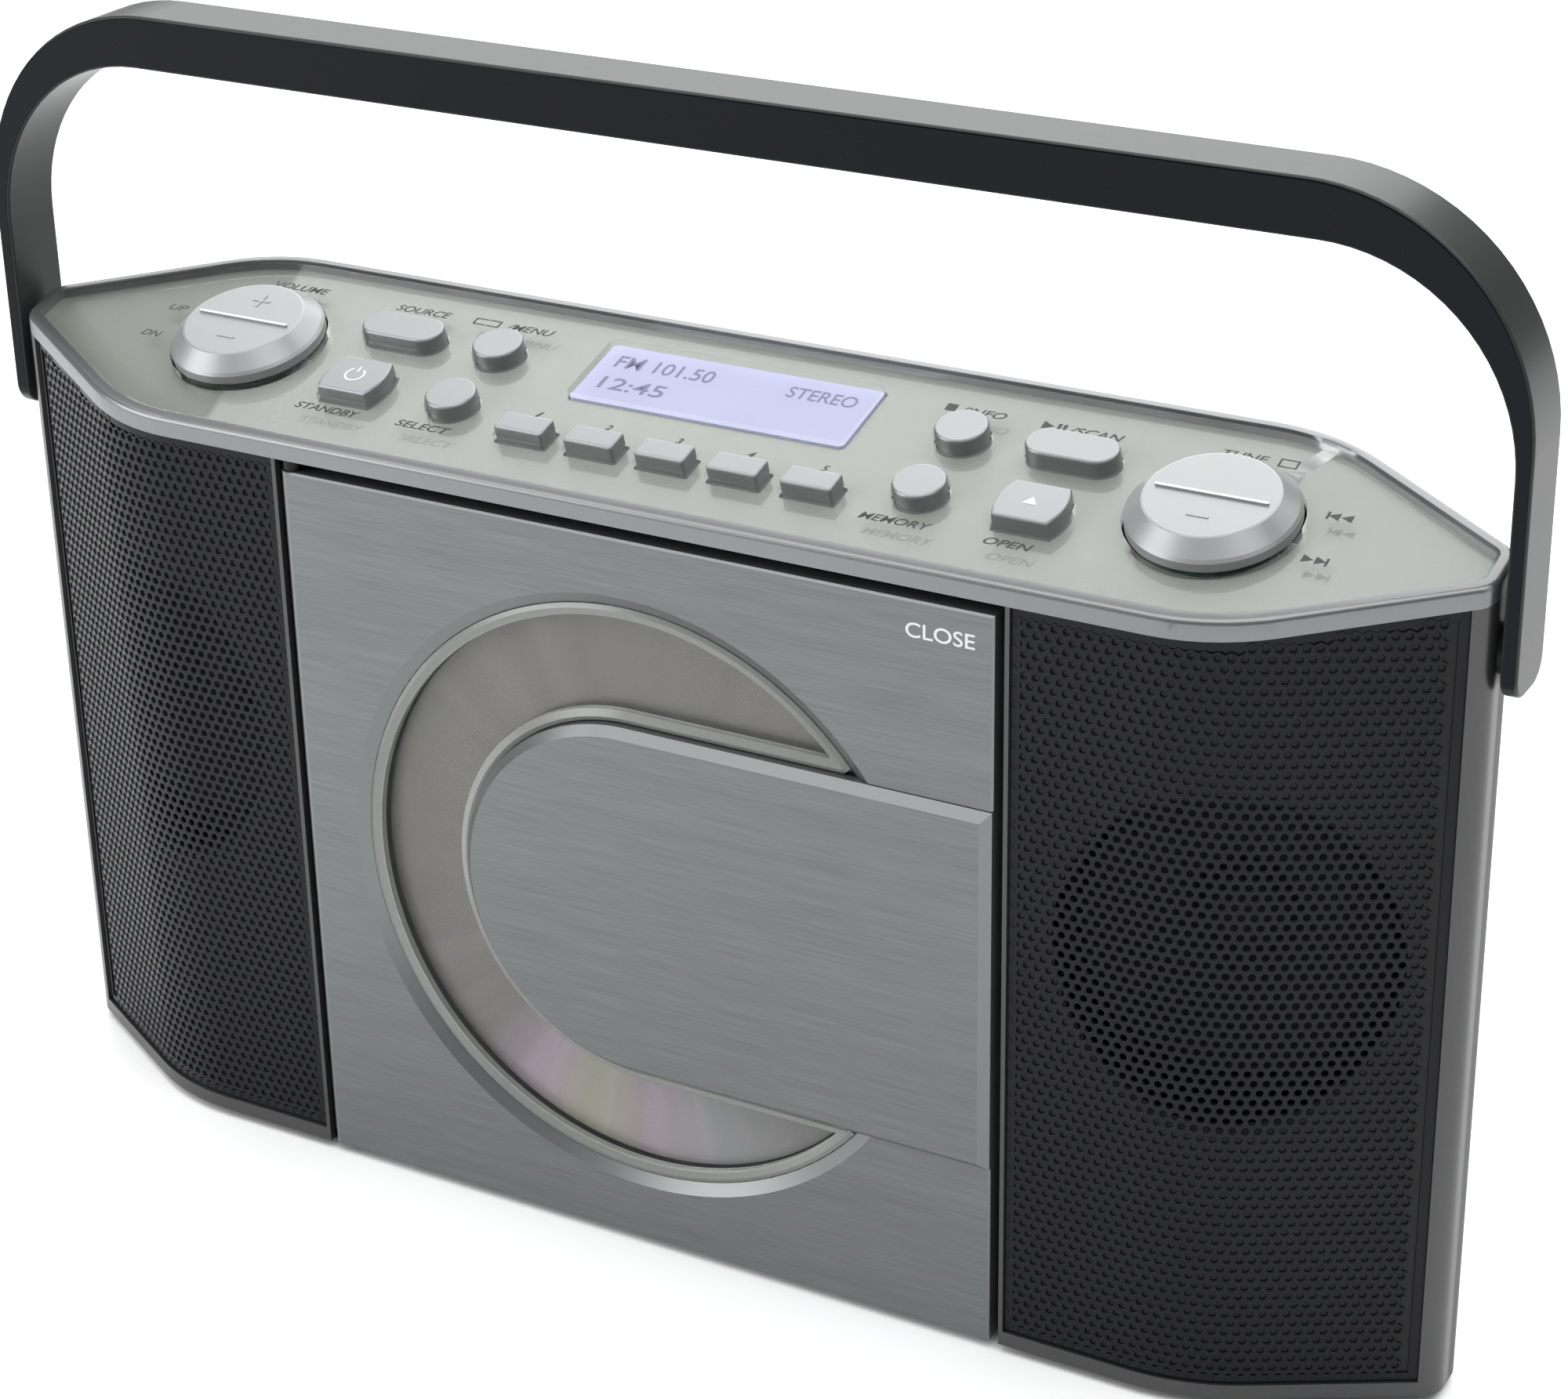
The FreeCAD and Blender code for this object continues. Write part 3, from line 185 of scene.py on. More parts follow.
print("node helpers ready")

# %% [markdown]
# Metallic paint has fine flakes, and seen from afar a slow unevenness. A scanned texture could
# show both. Two noises, one fine and one broad, do it at any scale and need no file. It is a
# group because nearly every finish uses it.

# %% Shader group: paint flakes
DRIFT_SCALE = 18.0
DRIFT_SHARE = 0.5


def make_flake_group():
    tree, inside, out = new_group(
        "ShaderNodeTree", "paint_flakes",
        [("Scale", "NodeSocketFloat", 5000.0), ("Amount", "NodeSocketFloat", 0.1)],
        [("Shade", "NodeSocketFloat"), ("Height", "NodeSocketFloat")])
    place = add(tree, "ShaderNodeTexCoord").outputs["Object"]
    fine = add(tree, "ShaderNodeTexNoise", place, None, inside.outputs["Scale"], 2.0)
    slow = add(tree, "ShaderNodeTexNoise", place, None, DRIFT_SCALE, 2.0)
    calc = partial(math_node, tree)
    spread = calc("SUBTRACT", fine.outputs[0], 0.5)
    drift = calc("SUBTRACT", slow.outputs[0], 0.5)
    both = calc("ADD", spread, calc("MULTIPLY", drift, DRIFT_SHARE))
    shade = calc("MULTIPLY", both, inside.outputs["Amount"])
    tree.links.new(calc("ADD", shade, 1.0), out.inputs["Shade"])
    tree.links.new(fine.outputs[0], out.inputs["Height"])
    return tree


flake_group = make_flake_group()
print("group", flake_group.name)

# %% [markdown]
# Brushed metal has long fine scratches. They could be cut into the mesh at great cost. Here a
# noise is stretched along X, so that its grains turn into lines, over a broader one for bands.

# %% Shader group: brushing along X
BAND_SCALE = 260.0
LINE_SHARE, BAND_SHARE = 0.7, 0.3


def make_brush_group():
    tree, inside, out = new_group(
        "ShaderNodeTree", "brushed_along_x",
        [("Fineness", "NodeSocketFloat", 1700.0), ("Stretch", "NodeSocketFloat", 45.0),
         ("Amount", "NodeSocketFloat", 0.3)],
        [("Shade", "NodeSocketFloat"), ("Height", "NodeSocketFloat")])
    place = add(tree, "ShaderNodeTexCoord").outputs["Object"]
    parts = add(tree, "ShaderNodeSeparateXYZ", place)
    calc = partial(math_node, tree)
    along = calc("DIVIDE", parts.outputs[0], inside.outputs["Stretch"])
    bent = add(tree, "ShaderNodeCombineXYZ", along, 0.0, parts.outputs[2])
    lines = add(tree, "ShaderNodeTexNoise", bent.outputs[0], None, inside.outputs["Fineness"], 3.0)
    broad = add(tree, "ShaderNodeTexNoise", bent.outputs[0], None, BAND_SCALE, 2.0)
    mixed = calc("ADD", calc("MULTIPLY", lines.outputs[0], LINE_SHARE),
                 calc("MULTIPLY", broad.outputs[0], BAND_SHARE))
    spread = calc("SUBTRACT", mixed, 0.5)
    shade = calc("MULTIPLY", spread, inside.outputs["Amount"])
    tree.links.new(calc("ADD", shade, 1.0), out.inputs["Shade"])
    tree.links.new(lines.outputs[0], out.inputs["Height"])
    return tree


brush_group = make_brush_group()
print("group", brush_group.name)

# %% [markdown]
# A brushed or polished panel has plain painted edges. Two materials could share the piece, but
# its faces would have to be picked one by one. A mask worked out from the normal tells front
# and back faces from the edges by itself.

# %% Shader group: which way a surface faces
def make_facing_group():
    tree, inside, out = new_group(
        "ShaderNodeTree", "faces_front_or_back",
        [("Sharpness", "NodeSocketFloat", 0.98)], [("Mask", "NodeSocketFloat")])
    normal = add(tree, "ShaderNodeTexCoord").outputs["Normal"]
    parts = add(tree, "ShaderNodeSeparateXYZ", normal)
    depthwise = math_node(tree, "ABSOLUTE", parts.outputs[1])
    flat = math_node(tree, "GREATER_THAN", depthwise, inside.outputs["Sharpness"])
    tree.links.new(flat, out.inputs["Mask"])
    return tree


facing_group = make_facing_group()
print("group", facing_group.name)

# %% [markdown]
# Every finish starts from the same helper, which returns the tree and its Principled shader.
# Constant values go straight on the shader's sockets, and only what varies over the surface
# comes through nodes. That keeps each tree small enough to read in the shader editor.

# %% Material helpers
def new_material(name, colour, roughness, metallic=0.0, specular=0.5):
    material = bpy.data.materials.new(name)
    material.use_nodes = True
    tree = material.node_tree
    shader = tree.nodes["Principled BSDF"]
    fill(shader, Base_Color=(*colour, 1), Roughness=roughness, Metallic=metallic,
         Specular_IOR_Level=specular)
    return material, tree, shader


def use_group(tree, group, **values):
    node = add(tree, "ShaderNodeGroup", node_tree=group)
    fill(node, **values)
    return node


def mix_colour(tree, factor, a, b, blend="MIX"):
    """A Mix node on colours, whose two colours are its sockets 6 and 7."""
    node = add(tree, "ShaderNodeMix", data_type="RGBA", blend_type=blend)
    for index, value in ((0, factor), (6, a), (7, b)):
        if isinstance(value, bpy.types.NodeSocket):
            tree.links.new(value, node.inputs[index])
        elif index:
            node.inputs[index].default_value = (*value, 1)
        else:
            node.inputs[index].default_value = value
    return node.outputs[2]


def scaled(tree, colour, shade):
    """A colour made lighter and darker by a shade value around 1."""
    grey = add(tree, "ShaderNodeCombineColor", shade, shade, shade).outputs[0]
    return mix_colour(tree, 1.0, colour, grey, "MULTIPLY")


def bump(tree, shader, height, distance, strength=0.5):
    node = add(tree, "ShaderNodeBump")
    fill(node, Strength=strength, Distance=distance)
    tree.links.new(height, node.inputs["Height"])
    tree.links.new(node.outputs[0], shader.inputs["Normal"])


print("material helpers ready")

# %% [markdown]
# Most pieces differ only in colour, gloss and grain. One function makes them all: the flakes
# shade the colour a little, and their height feeds a slight bump. A plain colour would do for
# small pieces, but looks dead from close by.

# %% The flaked finish
def flaked(name, colour, roughness, metallic, amount, specular=0.5, grain=5000.0, depth=4e-6):
    material, tree, shader = new_material(name, colour, roughness, metallic, specular)
    flakes = use_group(tree, flake_group, Scale=grain, Amount=amount)
    tree.links.new(scaled(tree, colour, flakes.outputs["Shade"]), shader.inputs["Base Color"])
    bump(tree, shader, flakes.outputs["Height"], depth)
    return material


print("finish helper ready")

# %% [markdown]
# The case is moulded plastic with a gunmetal paint: metal flakes under a satin lacquer. The rim
# around the deck is painted too, and the floor inside it is printed grey-green. The floor could
# be cut off as a piece of its own. One material serves both instead, since the print lies
# deeper than the rim: the height over the deck tells them apart, on faces that look up.

# %% Gunmetal paint and the printed deck
GUNMETAL = (0.19, 0.195, 0.198)
PRINT_GREEN = (0.094, 0.101, 0.09)
PAINT_METAL = 0.75
LOOKS_UP = 0.9
PRINT_SPAN = 0.6 * MM


def make_rim_material():
    material, tree, shader = new_material("rim_paint", GUNMETAL, 0.3, PAINT_METAL)
    flakes = use_group(tree, flake_group, Scale=5200.0, Amount=0.25)
    place = add(tree, "ShaderNodeSeparateXYZ", add(tree, "ShaderNodeTexCoord").outputs["Object"])
    calc = partial(math_node, tree)
    across = calc("MULTIPLY", calc("SUBTRACT", place.outputs[1], FRONT), -math.sin(SLOPE))
    up = calc("MULTIPLY", calc("SUBTRACT", place.outputs[2], DECK_FRONT), math.cos(SLOPE))
    height = calc("ADD", across, up)
    normal = add(tree, "ShaderNodeSeparateXYZ", add(tree, "ShaderNodeTexCoord").outputs["Normal"])
    level = calc("GREATER_THAN", normal.outputs[2], LOOKS_UP)
    deep = calc("COMPARE", height, PRINT_H, PRINT_SPAN)
    printed = calc("MULTIPLY", deep, level)
    paint = scaled(tree, GUNMETAL, flakes.outputs["Shade"])
    tree.links.new(mix_colour(tree, printed, paint, PRINT_GREEN), shader.inputs["Base Color"])
    metal = calc("MULTIPLY", calc("SUBTRACT", 1.0, printed), PAINT_METAL)
    tree.links.new(metal, shader.inputs["Metallic"])
    bump(tree, shader, flakes.outputs["Height"], 3e-6)
    return material


case_paint = flaked("gunmetal_paint", (0.07, 0.072, 0.07), 0.34, PAINT_METAL, 0.3)
rim_paint = make_rim_material()
print("materials", case_paint.name, rim_paint.name)

# %% [markdown]
# The door is brushed along its length. Its bevels and the tongue's sloping edge are smooth paint,
# so the brushing is masked to what faces the front. Their colour is also mixed a quarter lighter,
# a painted sheen for the light those sloping faces catch. An anisotropic shader could stretch the
# highlight, but wouldn't draw the lines.

# %% Brushed door
EDGE_PAINTED_SHEEN = 1.25


def make_door_material(name, colour):
    material, tree, shader = new_material(name, colour, 0.33, 0.72)
    brush = use_group(tree, brush_group, Fineness=2300.0, Stretch=38.0, Amount=0.75)
    facing = use_group(tree, facing_group, Sharpness=0.98)
    flakes = use_group(tree, flake_group, Scale=5200.0, Amount=0.2)
    # The smooth edges are painted a quarter lighter: a painted sheen for the light they catch.
    smooth = scaled(tree, tuple(EDGE_PAINTED_SHEEN * c for c in colour), flakes.outputs["Shade"])
    brushed = scaled(tree, colour, brush.outputs["Shade"])
    tree.links.new(mix_colour(tree, facing.outputs[0], smooth, brushed),
                   shader.inputs["Base Color"])
    height = math_node(tree, "MULTIPLY", brush.outputs["Height"], facing.outputs[0])
    bump(tree, shader, height, 1.2e-5, 0.6)
    return material


door_finish = make_door_material("brushed_door", (0.145, 0.152, 0.153))
print("material", door_finish.name)

# %% [markdown]
# Keys and rockers are plated a soft silver. The rockers' copy is mixed lighter and less metallic
# than the keys', which partly paints the bright highlight their bevels catch. The handle is black
# and polished on its two flat faces, with a satin band all round between them. Two materials could
# part them; the door's facing mask does it in one, and says where the band's thin lacquer goes.

# %% Silver keys and the black handle
SATIN_ROUGH, GLOSS_ROUGH = 0.34, 0.08
BAND_LACQUER = 0.22

key_silver = flaked("key_silver", (0.25, 0.26, 0.265), 0.33, 0.65, 0.12, grain=7000.0,
                    depth=2e-6)
# The rockers' lighter copy of the same silver partly paints the highlight on their bevels.
rocker_silver = flaked("rocker_silver", (0.31, 0.32, 0.325), 0.36, 0.4, 0.12, grain=7000.0,
                       depth=2e-6)


def make_handle_material():
    material, tree, shader = new_material("black_handle", (0.004, 0.004, 0.006), 0.1, 0.0, 0.12)
    facing = use_group(tree, facing_group, Sharpness=0.9)
    flakes = use_group(tree, flake_group, Scale=3600.0, Amount=0.35)
    satin = scaled(tree, (0.022, 0.024, 0.023), flakes.outputs["Shade"])
    tree.links.new(mix_colour(tree, facing.outputs[0], satin, (0.003, 0.0035, 0.006)),
                   shader.inputs["Base Color"])
    calc = partial(math_node, tree)
    rough = calc("MULTIPLY_ADD", facing.outputs[0], GLOSS_ROUGH - SATIN_ROUGH, SATIN_ROUGH)
    tree.links.new(rough, shader.inputs["Roughness"])
    lacquer = calc("MULTIPLY_ADD", facing.outputs[0], -BAND_LACQUER, BAND_LACQUER)
    tree.links.new(lacquer, shader.inputs["Coat Weight"])
    fill(shader, Coat_Roughness=0.28)
    return material


handle_finish = make_handle_material()
print("materials", key_silver.name, handle_finish.name)

# %% [markdown]
# Clear plastic is a Principled shader with full transmission. At its true index, near 1.5, the
# thin plate with its many openings shows hard dark and bright lines at every edge. So the index
# is almost that of air, and a clear coat gives the shine. Lamps can't light through such a solid
# without a great many samples, so the shader lets shadow rays pass.

# %% Clear plastic
INDEX, SHINE = 1.04, 0.45


def make_clear(name, colour, roughness):
    material, tree, shader = new_material(name, colour, roughness)
    fill(shader, Transmission_Weight=1.0, IOR=INDEX, Coat_Weight=SHINE, Coat_Roughness=0.02)
    shadow = add(tree, "ShaderNodeLightPath").outputs["Is Shadow Ray"]
    tree.links.new(math_node(tree, "SUBTRACT", 1.0, shadow), shader.inputs["Alpha"])
    return material


clear_plate = make_clear("clear_plate", (0.97, 0.99, 0.97), 0.015)
clear_window = make_clear("clear_window", (0.99, 0.99, 0.98), 0.01)
print("materials", clear_plate.name, clear_window.name)

# %% [markdown]
# A disc is a mirror under a thin film, silver-brown with faint bands of violet and olive where
# the light catches its spiral. True diffraction is beyond a path tracer. A ramp over the angle
# around the disc stands in for it, and the distance from the middle parts off a lighter hub.

# %% The disc
DISC_BROWN = (0.085, 0.082, 0.075)
DISC_BANDS = [(0.13, (0.1, 0.092, 0.088)), (0.17, (0.22, 0.175, 0.215)),
              (0.21, (0.2, 0.2, 0.155)), (0.25, (0.22, 0.185, 0.215)),
              (0.30, (0.17, 0.172, 0.18)), (0.40, DISC_BROWN)]
HUB_GREY = (0.3, 0.3, 0.3)
HUB_RADIUS = 21 * MM


def make_disc_material():
    material, tree, shader = new_material("disc_silver", DISC_BROWN, 0.32, 0.35, 0.35)
    place = add(tree, "ShaderNodeTexCoord").outputs["Object"]
    centred = add(tree, "ShaderNodeVectorMath", place, (DISC_X, 0, DISC_Z), operation="SUBTRACT")
    parts = add(tree, "ShaderNodeSeparateXYZ", centred.outputs[0])
    calc = partial(math_node, tree)
    angle = calc("ARCTAN2", parts.outputs[2], parts.outputs[0])
    flat = add(tree, "ShaderNodeCombineXYZ", parts.outputs[0], 0.0, parts.outputs[2])
    radius = add(tree, "ShaderNodeVectorMath", flat.outputs[0], operation="LENGTH").outputs[1]
    ramp = tree.nodes.new("ShaderNodeValToRGB")
    for end in ramp.color_ramp.elements:
        end.color = (*DISC_BROWN, 1)
    for position, colour in DISC_BANDS:
        ramp.color_ramp.elements.new(position).color = (*colour, 1)
    turn = calc("MULTIPLY_ADD", angle, 1 / math.tau, 0.5)
    tree.links.new(turn, ramp.inputs[0])
    streaks = add(tree, "ShaderNodeTexNoise", None, angle, 7.0, 3.0, noise_dimensions="1D")
    shade = calc("MULTIPLY_ADD", streaks.outputs[0], 0.4, 0.8)
    hub = calc("LESS_THAN", radius, HUB_RADIUS)
    tree.links.new(mix_colour(tree, hub, scaled(tree, ramp.outputs[0], shade), HUB_GREY),
                   shader.inputs["Base Color"])
    return material


disc_silver = make_disc_material()
print("material", disc_silver.name)

# %% [markdown]
# The rest are plain workshop finishes: grained black plastic for the back, painted steel for
# the grilles, chrome for the aerial, and what only shows when a lid is open. Each could have a
# tree of its own, but at their size the flaked finish tells them apart.

# %% Small finishes
rear_plastic = flaked("black_grained_plastic", (0.018, 0.018, 0.02), 0.48, 0.0, 0.4,
                      grain=2200.0, depth=3e-5)
inner_black = flaked("inner_black_plastic", (0.005, 0.005, 0.006), 0.5, 0.0, 0.3, 0.25,
                     grain=2600.0, depth=1e-5)
grille_paint = flaked("grille_paint", (0.006, 0.0065, 0.008), 0.24, 0.0, 0.3, 0.16, grain=4000.0)
chrome = flaked("aerial_chrome", (0.78, 0.79, 0.8), 0.1, 1.0, 0.04, grain=900.0, depth=1e-6)
plated_steel = flaked("plated_steel", (0.5, 0.5, 0.52), 0.3, 1.0, 0.15, grain=1500.0)
rubber = flaked("moulded_rubber", (0.012, 0.012, 0.012), 0.75, 0.0, 0.3, grain=1800.0, depth=2e-5)
cone_paper = flaked("pressed_pulp", (0.015, 0.015, 0.016), 0.8, 0.0, 0.6, grain=2500.0, depth=5e-5)
cap_gloss = flaked("speaker_cap_gloss", (0.01, 0.01, 0.012), 0.12, 0.0, 0.2)
ferrite = flaked("ferrite", (0.05, 0.05, 0.055), 0.6, 0.0, 0.4, grain=900.0, depth=2e-5)
solder_mask = flaked("green_board", (0.02, 0.11, 0.04), 0.35, 0.0, 0.3, grain=700.0)
windings = flaked("varnished_core", (0.14, 0.08, 0.03), 0.45, 0.3, 0.5, grain=1200.0, depth=3e-5)
print("small finishes", len(bpy.data.materials))

# %% [markdown]
# The display is a pale violet panel lit from behind, slightly uneven as a diffuser is. A lamp
# could light it; a weak emission of the same tint is cheaper. Legends are a dark grey ink, and
# the characters on the display a darker violet.

# %% Display and inks
def make_display_material():
    colour = (0.27, 0.28, 0.42)
    material, tree, shader = new_material("display_panel", colour, 0.35)
    cloud = add(tree, "ShaderNodeTexNoise", add(tree, "ShaderNodeTexCoord").outputs["Object"],
                None, 40.0, 1.0)
    shade = math_node(tree, "MULTIPLY_ADD", cloud.outputs[0], 0.2, 0.9)
    tint = scaled(tree, colour, shade)
    tree.links.new(tint, shader.inputs["Base Color"])
    tree.links.new(tint, shader.inputs["Emission Color"])
    fill(shader, Emission_Strength=0.12)
    return material


display_panel = make_display_material()
legend_ink = flaked("legend_ink", (0.02, 0.022, 0.02), 0.6, 0.0, 0.2, grain=3000.0)
# The pale ink serves the signs on the keys and the word on the door, and also paints the highlight
# strip on each rocker's crest.
ink_and_painted_highlight = flaked("pale_ink_and_painted_highlight", (0.62, 0.64, 0.64), 0.5, 0.0, 0.1, grain=3000.0)
segment_ink = flaked("segment_ink", (0.12, 0.12, 0.22), 0.5, 0.0, 0.1, grain=3000.0)
# The milky edge colour is painted light: an opaque grey-green in place of the light that thick
# clear edges gather.
painted_light_edge = flaked("painted_light_edge", (0.2, 0.21, 0.195), 0.22, 0.1, 0.15, grain=900.0)
print("display and inks ready")

# %% [markdown]
# The frame's own pieces keep their meshes and only get a finish each. A line for each piece
# would do it; one table from finishes to pieces is easier to check against the set.

# %% Paint the frame's pieces
KEYS = [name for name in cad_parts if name.startswith("key_") and name != "key_board"]
FINISHES = {
    case_paint: ["front_shell", "grille_frame_left", "grille_frame_right"],
    rim_paint: ["top_rim"],
    door_finish: ["door_panel", "door_tongue"],
    key_silver: KEYS,
    rocker_silver: ["rocker_volume", "rocker_tune"],
    handle_finish: ["handle"],
    clear_plate: ["deck_plate"],
    clear_window: ["door_window"],
    disc_silver: ["disc"],
    rear_plastic: ["rear_shell", "battery_door"],
    inner_black: ["display_frame", "disc_well", "battery_box", "board_posts", "pickup", "latch",
                  "handle_washers", "headphone_jack", "mains_inlet", "turntable"],
    chrome: ["aerial_knuckle", "aerial_outer", "aerial_middle", "aerial_tip"],
    plated_steel: ["spindle_motor", "sled_motor", "sled_rails", "lead_screw", "case_screws",
                   "battery_contacts"],
    rubber: ["feet", "speaker_surrounds"],
    cone_paper: ["speaker_cones"],
    cap_gloss: ["speaker_frames"],
    ferrite: ["speaker_magnets"],
    solder_mask: ["key_board", "rocker_boards", "main_board"],
    windings: ["power_transformer"],
    display_panel: ["display"],
}
for finish, names in FINISHES.items():
    for name in names:
        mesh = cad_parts[name].data
        mesh.materials.clear()
        mesh.materials.append(finish)
print("painted", sum(len(names) for names in FINISHES.values()))

# %% [markdown]
# The rim, the clear plate and the door's window are broad flat faces with many openings. A wide
# reflection shows every flaw in how such a face is shaded. They could be modelled again, but
# would then drift from the frame. So these three are copied, their loose triangles are joined
# up, and only edges under thirty degrees are shaded as round.

# %% Smooth copies of the flat pieces
WELD = 1e-6
STILL_FLAT = math.radians(0.5)
STILL_ROUND = math.radians(30)


def add_object(name, mesh):
    item = bpy.data.objects.new(name, mesh)
    bpy.context.collection.objects.link(item)
    return item


def finish_piece(name, mesh, body, material=None):
    """Links a finished mesh as a piece that rides on a body."""
    if material is not None:
        mesh.materials.clear()
        mesh.materials.append(material)
    piece = add_object(name, mesh)
    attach(piece, body)
    return piece


def mesh_from(layout, name):
    """Turns a bmesh layout into a mesh and lets go of the layout."""
    mesh = bpy.data.meshes.new(name)
    layout.to_mesh(mesh)
    layout.free()
    return mesh


def smooth_copy(node):
    layout = bmesh.new()
    layout.from_mesh(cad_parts[node].data)
    bmesh.ops.remove_doubles(layout, verts=layout.verts, dist=WELD)
    bmesh.ops.dissolve_limit(layout, angle_limit=STILL_FLAT, verts=layout.verts,
                             edges=layout.edges)
    mesh = mesh_from(layout, node + "_smooth")
    mesh.shade_smooth()
    mesh.set_sharp_from_angle(angle=STILL_ROUND)
    return mesh


def lift_underside(mesh, reach=0.1 * MM, gap=0.06 * MM):
    """Parts the plate from the print it lies on, so that the two faces don't fight."""
    mesh.transform(DECK.inverted())
    for vertex in mesh.vertices:
        if vertex.co.z < PRINT_H + reach:
            vertex.co.z = PRINT_H + gap
    mesh.transform(DECK)


for node, body, slot, finish in (("top_rim", "housing", "gunmetal", rim_paint),
                                 ("deck_plate", "housing", "clear_plate", clear_plate),
                                 ("door_window", "door", "door_window", clear_window)):
    piece = finish_piece(node + "_smooth", smooth_copy(node), body, finish)
    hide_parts(node)
    if node == "deck_plate":
        lift_underside(piece.data)
    print(node, len(piece.data.polygons), "faces")

# %% [markdown]
# A grille is a steel sheet with thousands of holes, bent round the front. Each hole has a small
# raised collar. Cutting the holes into a solid would take minutes. Instead one hexagonal cell
# is repeated on a staggered grid laid out flat, and the whole sheet is then bent by a formula:
# straight, an arc, then straight again.

# %% Sizes of the sheet
SINK = 0.6 * MM
CORNER_RADIUS = 45.0 * MM
BEND_ANGLE = math.atan2(23.75, 42.0)
BEND_RADIUS = CORNER_RADIUS - SINK
TANGENT = CORNER_RADIUS * math.tan(BEND_ANGLE / 2)
BEND_START = 118.5 * MM - TANGENT
SHEET_START = 80.3 * MM
SHEET_END = BEND_START + BEND_RADIUS * BEND_ANGLE + 44.3 * MM - TANGENT
SHEET_BOTTOM = FLOOR_PAD + 3.1 * MM
SHEET_TOP = DECK_FRONT - 3.66 * MM / math.cos(SLOPE)
PITCH = 2.33 * MM
MARGIN = 1.3 * MM
BORDER = 1.9 * MM
HAIR = 0.04 * MM
print("sheet length", round(SHEET_END - SHEET_START, 4))


def bend(along, depth):
    """The place on the set's front of a point on the flat sheet: x, and y behind its front."""
    angle = max(0.0, min(BEND_ANGLE, (along - BEND_START) / BEND_RADIUS))
    rest = max(0.0, along - BEND_START - BEND_RADIUS * BEND_ANGLE)
    x = min(along, BEND_START) + (BEND_RADIUS - depth) * math.sin(angle)
    y = BEND_RADIUS - (BEND_RADIUS - depth) * math.cos(angle)
    return x + rest * math.cos(BEND_ANGLE), y + rest * math.sin(BEND_ANGLE)


# %% [markdown]
# The same formula as nodes. A curve modifier would bend the sheet too, but it needs a curve
# object. It is a group because the tree below uses it twice: to find the sloping top edge, and
# to bend the cells.

# %% Geometry group: bend a sheet round the front
def make_bend_group():
    tree, inside, out = new_group(
        "GeometryNodeTree", "bend_round_front",
        [("Along", "NodeSocketFloat", 0.0), ("Depth", "NodeSocketFloat", 0.0),
         ("Start", "NodeSocketFloat", BEND_START), ("Radius", "NodeSocketFloat", BEND_RADIUS),
         ("Angle", "NodeSocketFloat", BEND_ANGLE)],
        [("X", "NodeSocketFloat"), ("Y", "NodeSocketFloat")])
    along, depth, start, radius, angle = inside.outputs[:5]
    calc = partial(math_node, tree)
    past = calc("SUBTRACT", along, start)
    turned = calc("MAXIMUM", calc("DIVIDE", past, radius), 0.0)
    turned = calc("MINIMUM", turned, angle)
    arc = calc("MULTIPLY", radius, angle)
    rest = calc("MAXIMUM", calc("SUBTRACT", past, arc), 0.0)
    inner = calc("SUBTRACT", radius, depth)
    x = calc("MULTIPLY_ADD", inner, calc("SINE", turned), calc("MINIMUM", along, start))
    x = calc("MULTIPLY_ADD", rest, calc("COSINE", angle), x)
    y = calc("SUBTRACT", radius, calc("MULTIPLY", inner, calc("COSINE", turned)))
    y = calc("MULTIPLY_ADD", rest, calc("SINE", angle), y)
    tree.links.new(x, out.inputs["X"])
    tree.links.new(y, out.inputs["Y"])
    return tree


bend_group = make_bend_group()
print("group", bend_group.name)

# %% [markdown]
# A cell is a hexagon of steel round a hole, whose lip is pressed a little forward and then
# turns in. Holes drawn on a flat sheet would be lighter, but the lips catch the light. Each
# ring is given as its share of the pitch and its depth behind the sheet's front.

# %% One perforation
CELL_RINGS = ((None, 0.0), (0.37, -0.13), (0.30, 0.04), (0.285, 0.36))
CELL_SIDES = 12


def make_cell():
    """A hexagon with a hole and a raised collar: X along, Y up the sheet, Z its depth."""
    rings = []
    for share, depth in CELL_RINGS:
        ring = []
        for step in range(CELL_SIDES):
            angle = math.radians(360 // CELL_SIDES * step)
            hexagon = PITCH / 2 if step % 2 == 0 else PITCH / math.sqrt(3)
            radius = hexagon if share is None else share * PITCH
            ring.append((radius * math.cos(angle), radius * math.sin(angle), depth * MM))
        rings.append(ring)
    points = [p for ring in rings for p in ring]
    faces = []
    for level in range(len(CELL_RINGS) - 1):
        for step in range(CELL_SIDES):
            a = CELL_SIDES * level + step
            b = CELL_SIDES * level + (step + 1) % CELL_SIDES
            faces.append((a, a + CELL_SIDES, b + CELL_SIDES, b))
    mesh = bpy.data.meshes.new("cell")
    mesh.from_pydata(points, [], faces)
    mesh.shade_smooth()
    return add_object("cell", mesh)


cell = make_cell()
print("cell faces", len(cell.data.polygons))

# %% [markdown]
# The tree lays points on a staggered grid and drops those above the sloping edge. It puts a
# cell on each, makes them real, bends them and welds their edges. Python loops could do the
# same, but the tree is quick, and its sizes are open as inputs.

# %% Geometry tree: the perforated sheet
TALLER_BEHIND = 12 * MM
FIRST_ALONG, FIRST_UP = 0.2 * MM, 0.3 * MM
CELL_WELD = 0.02 * MM


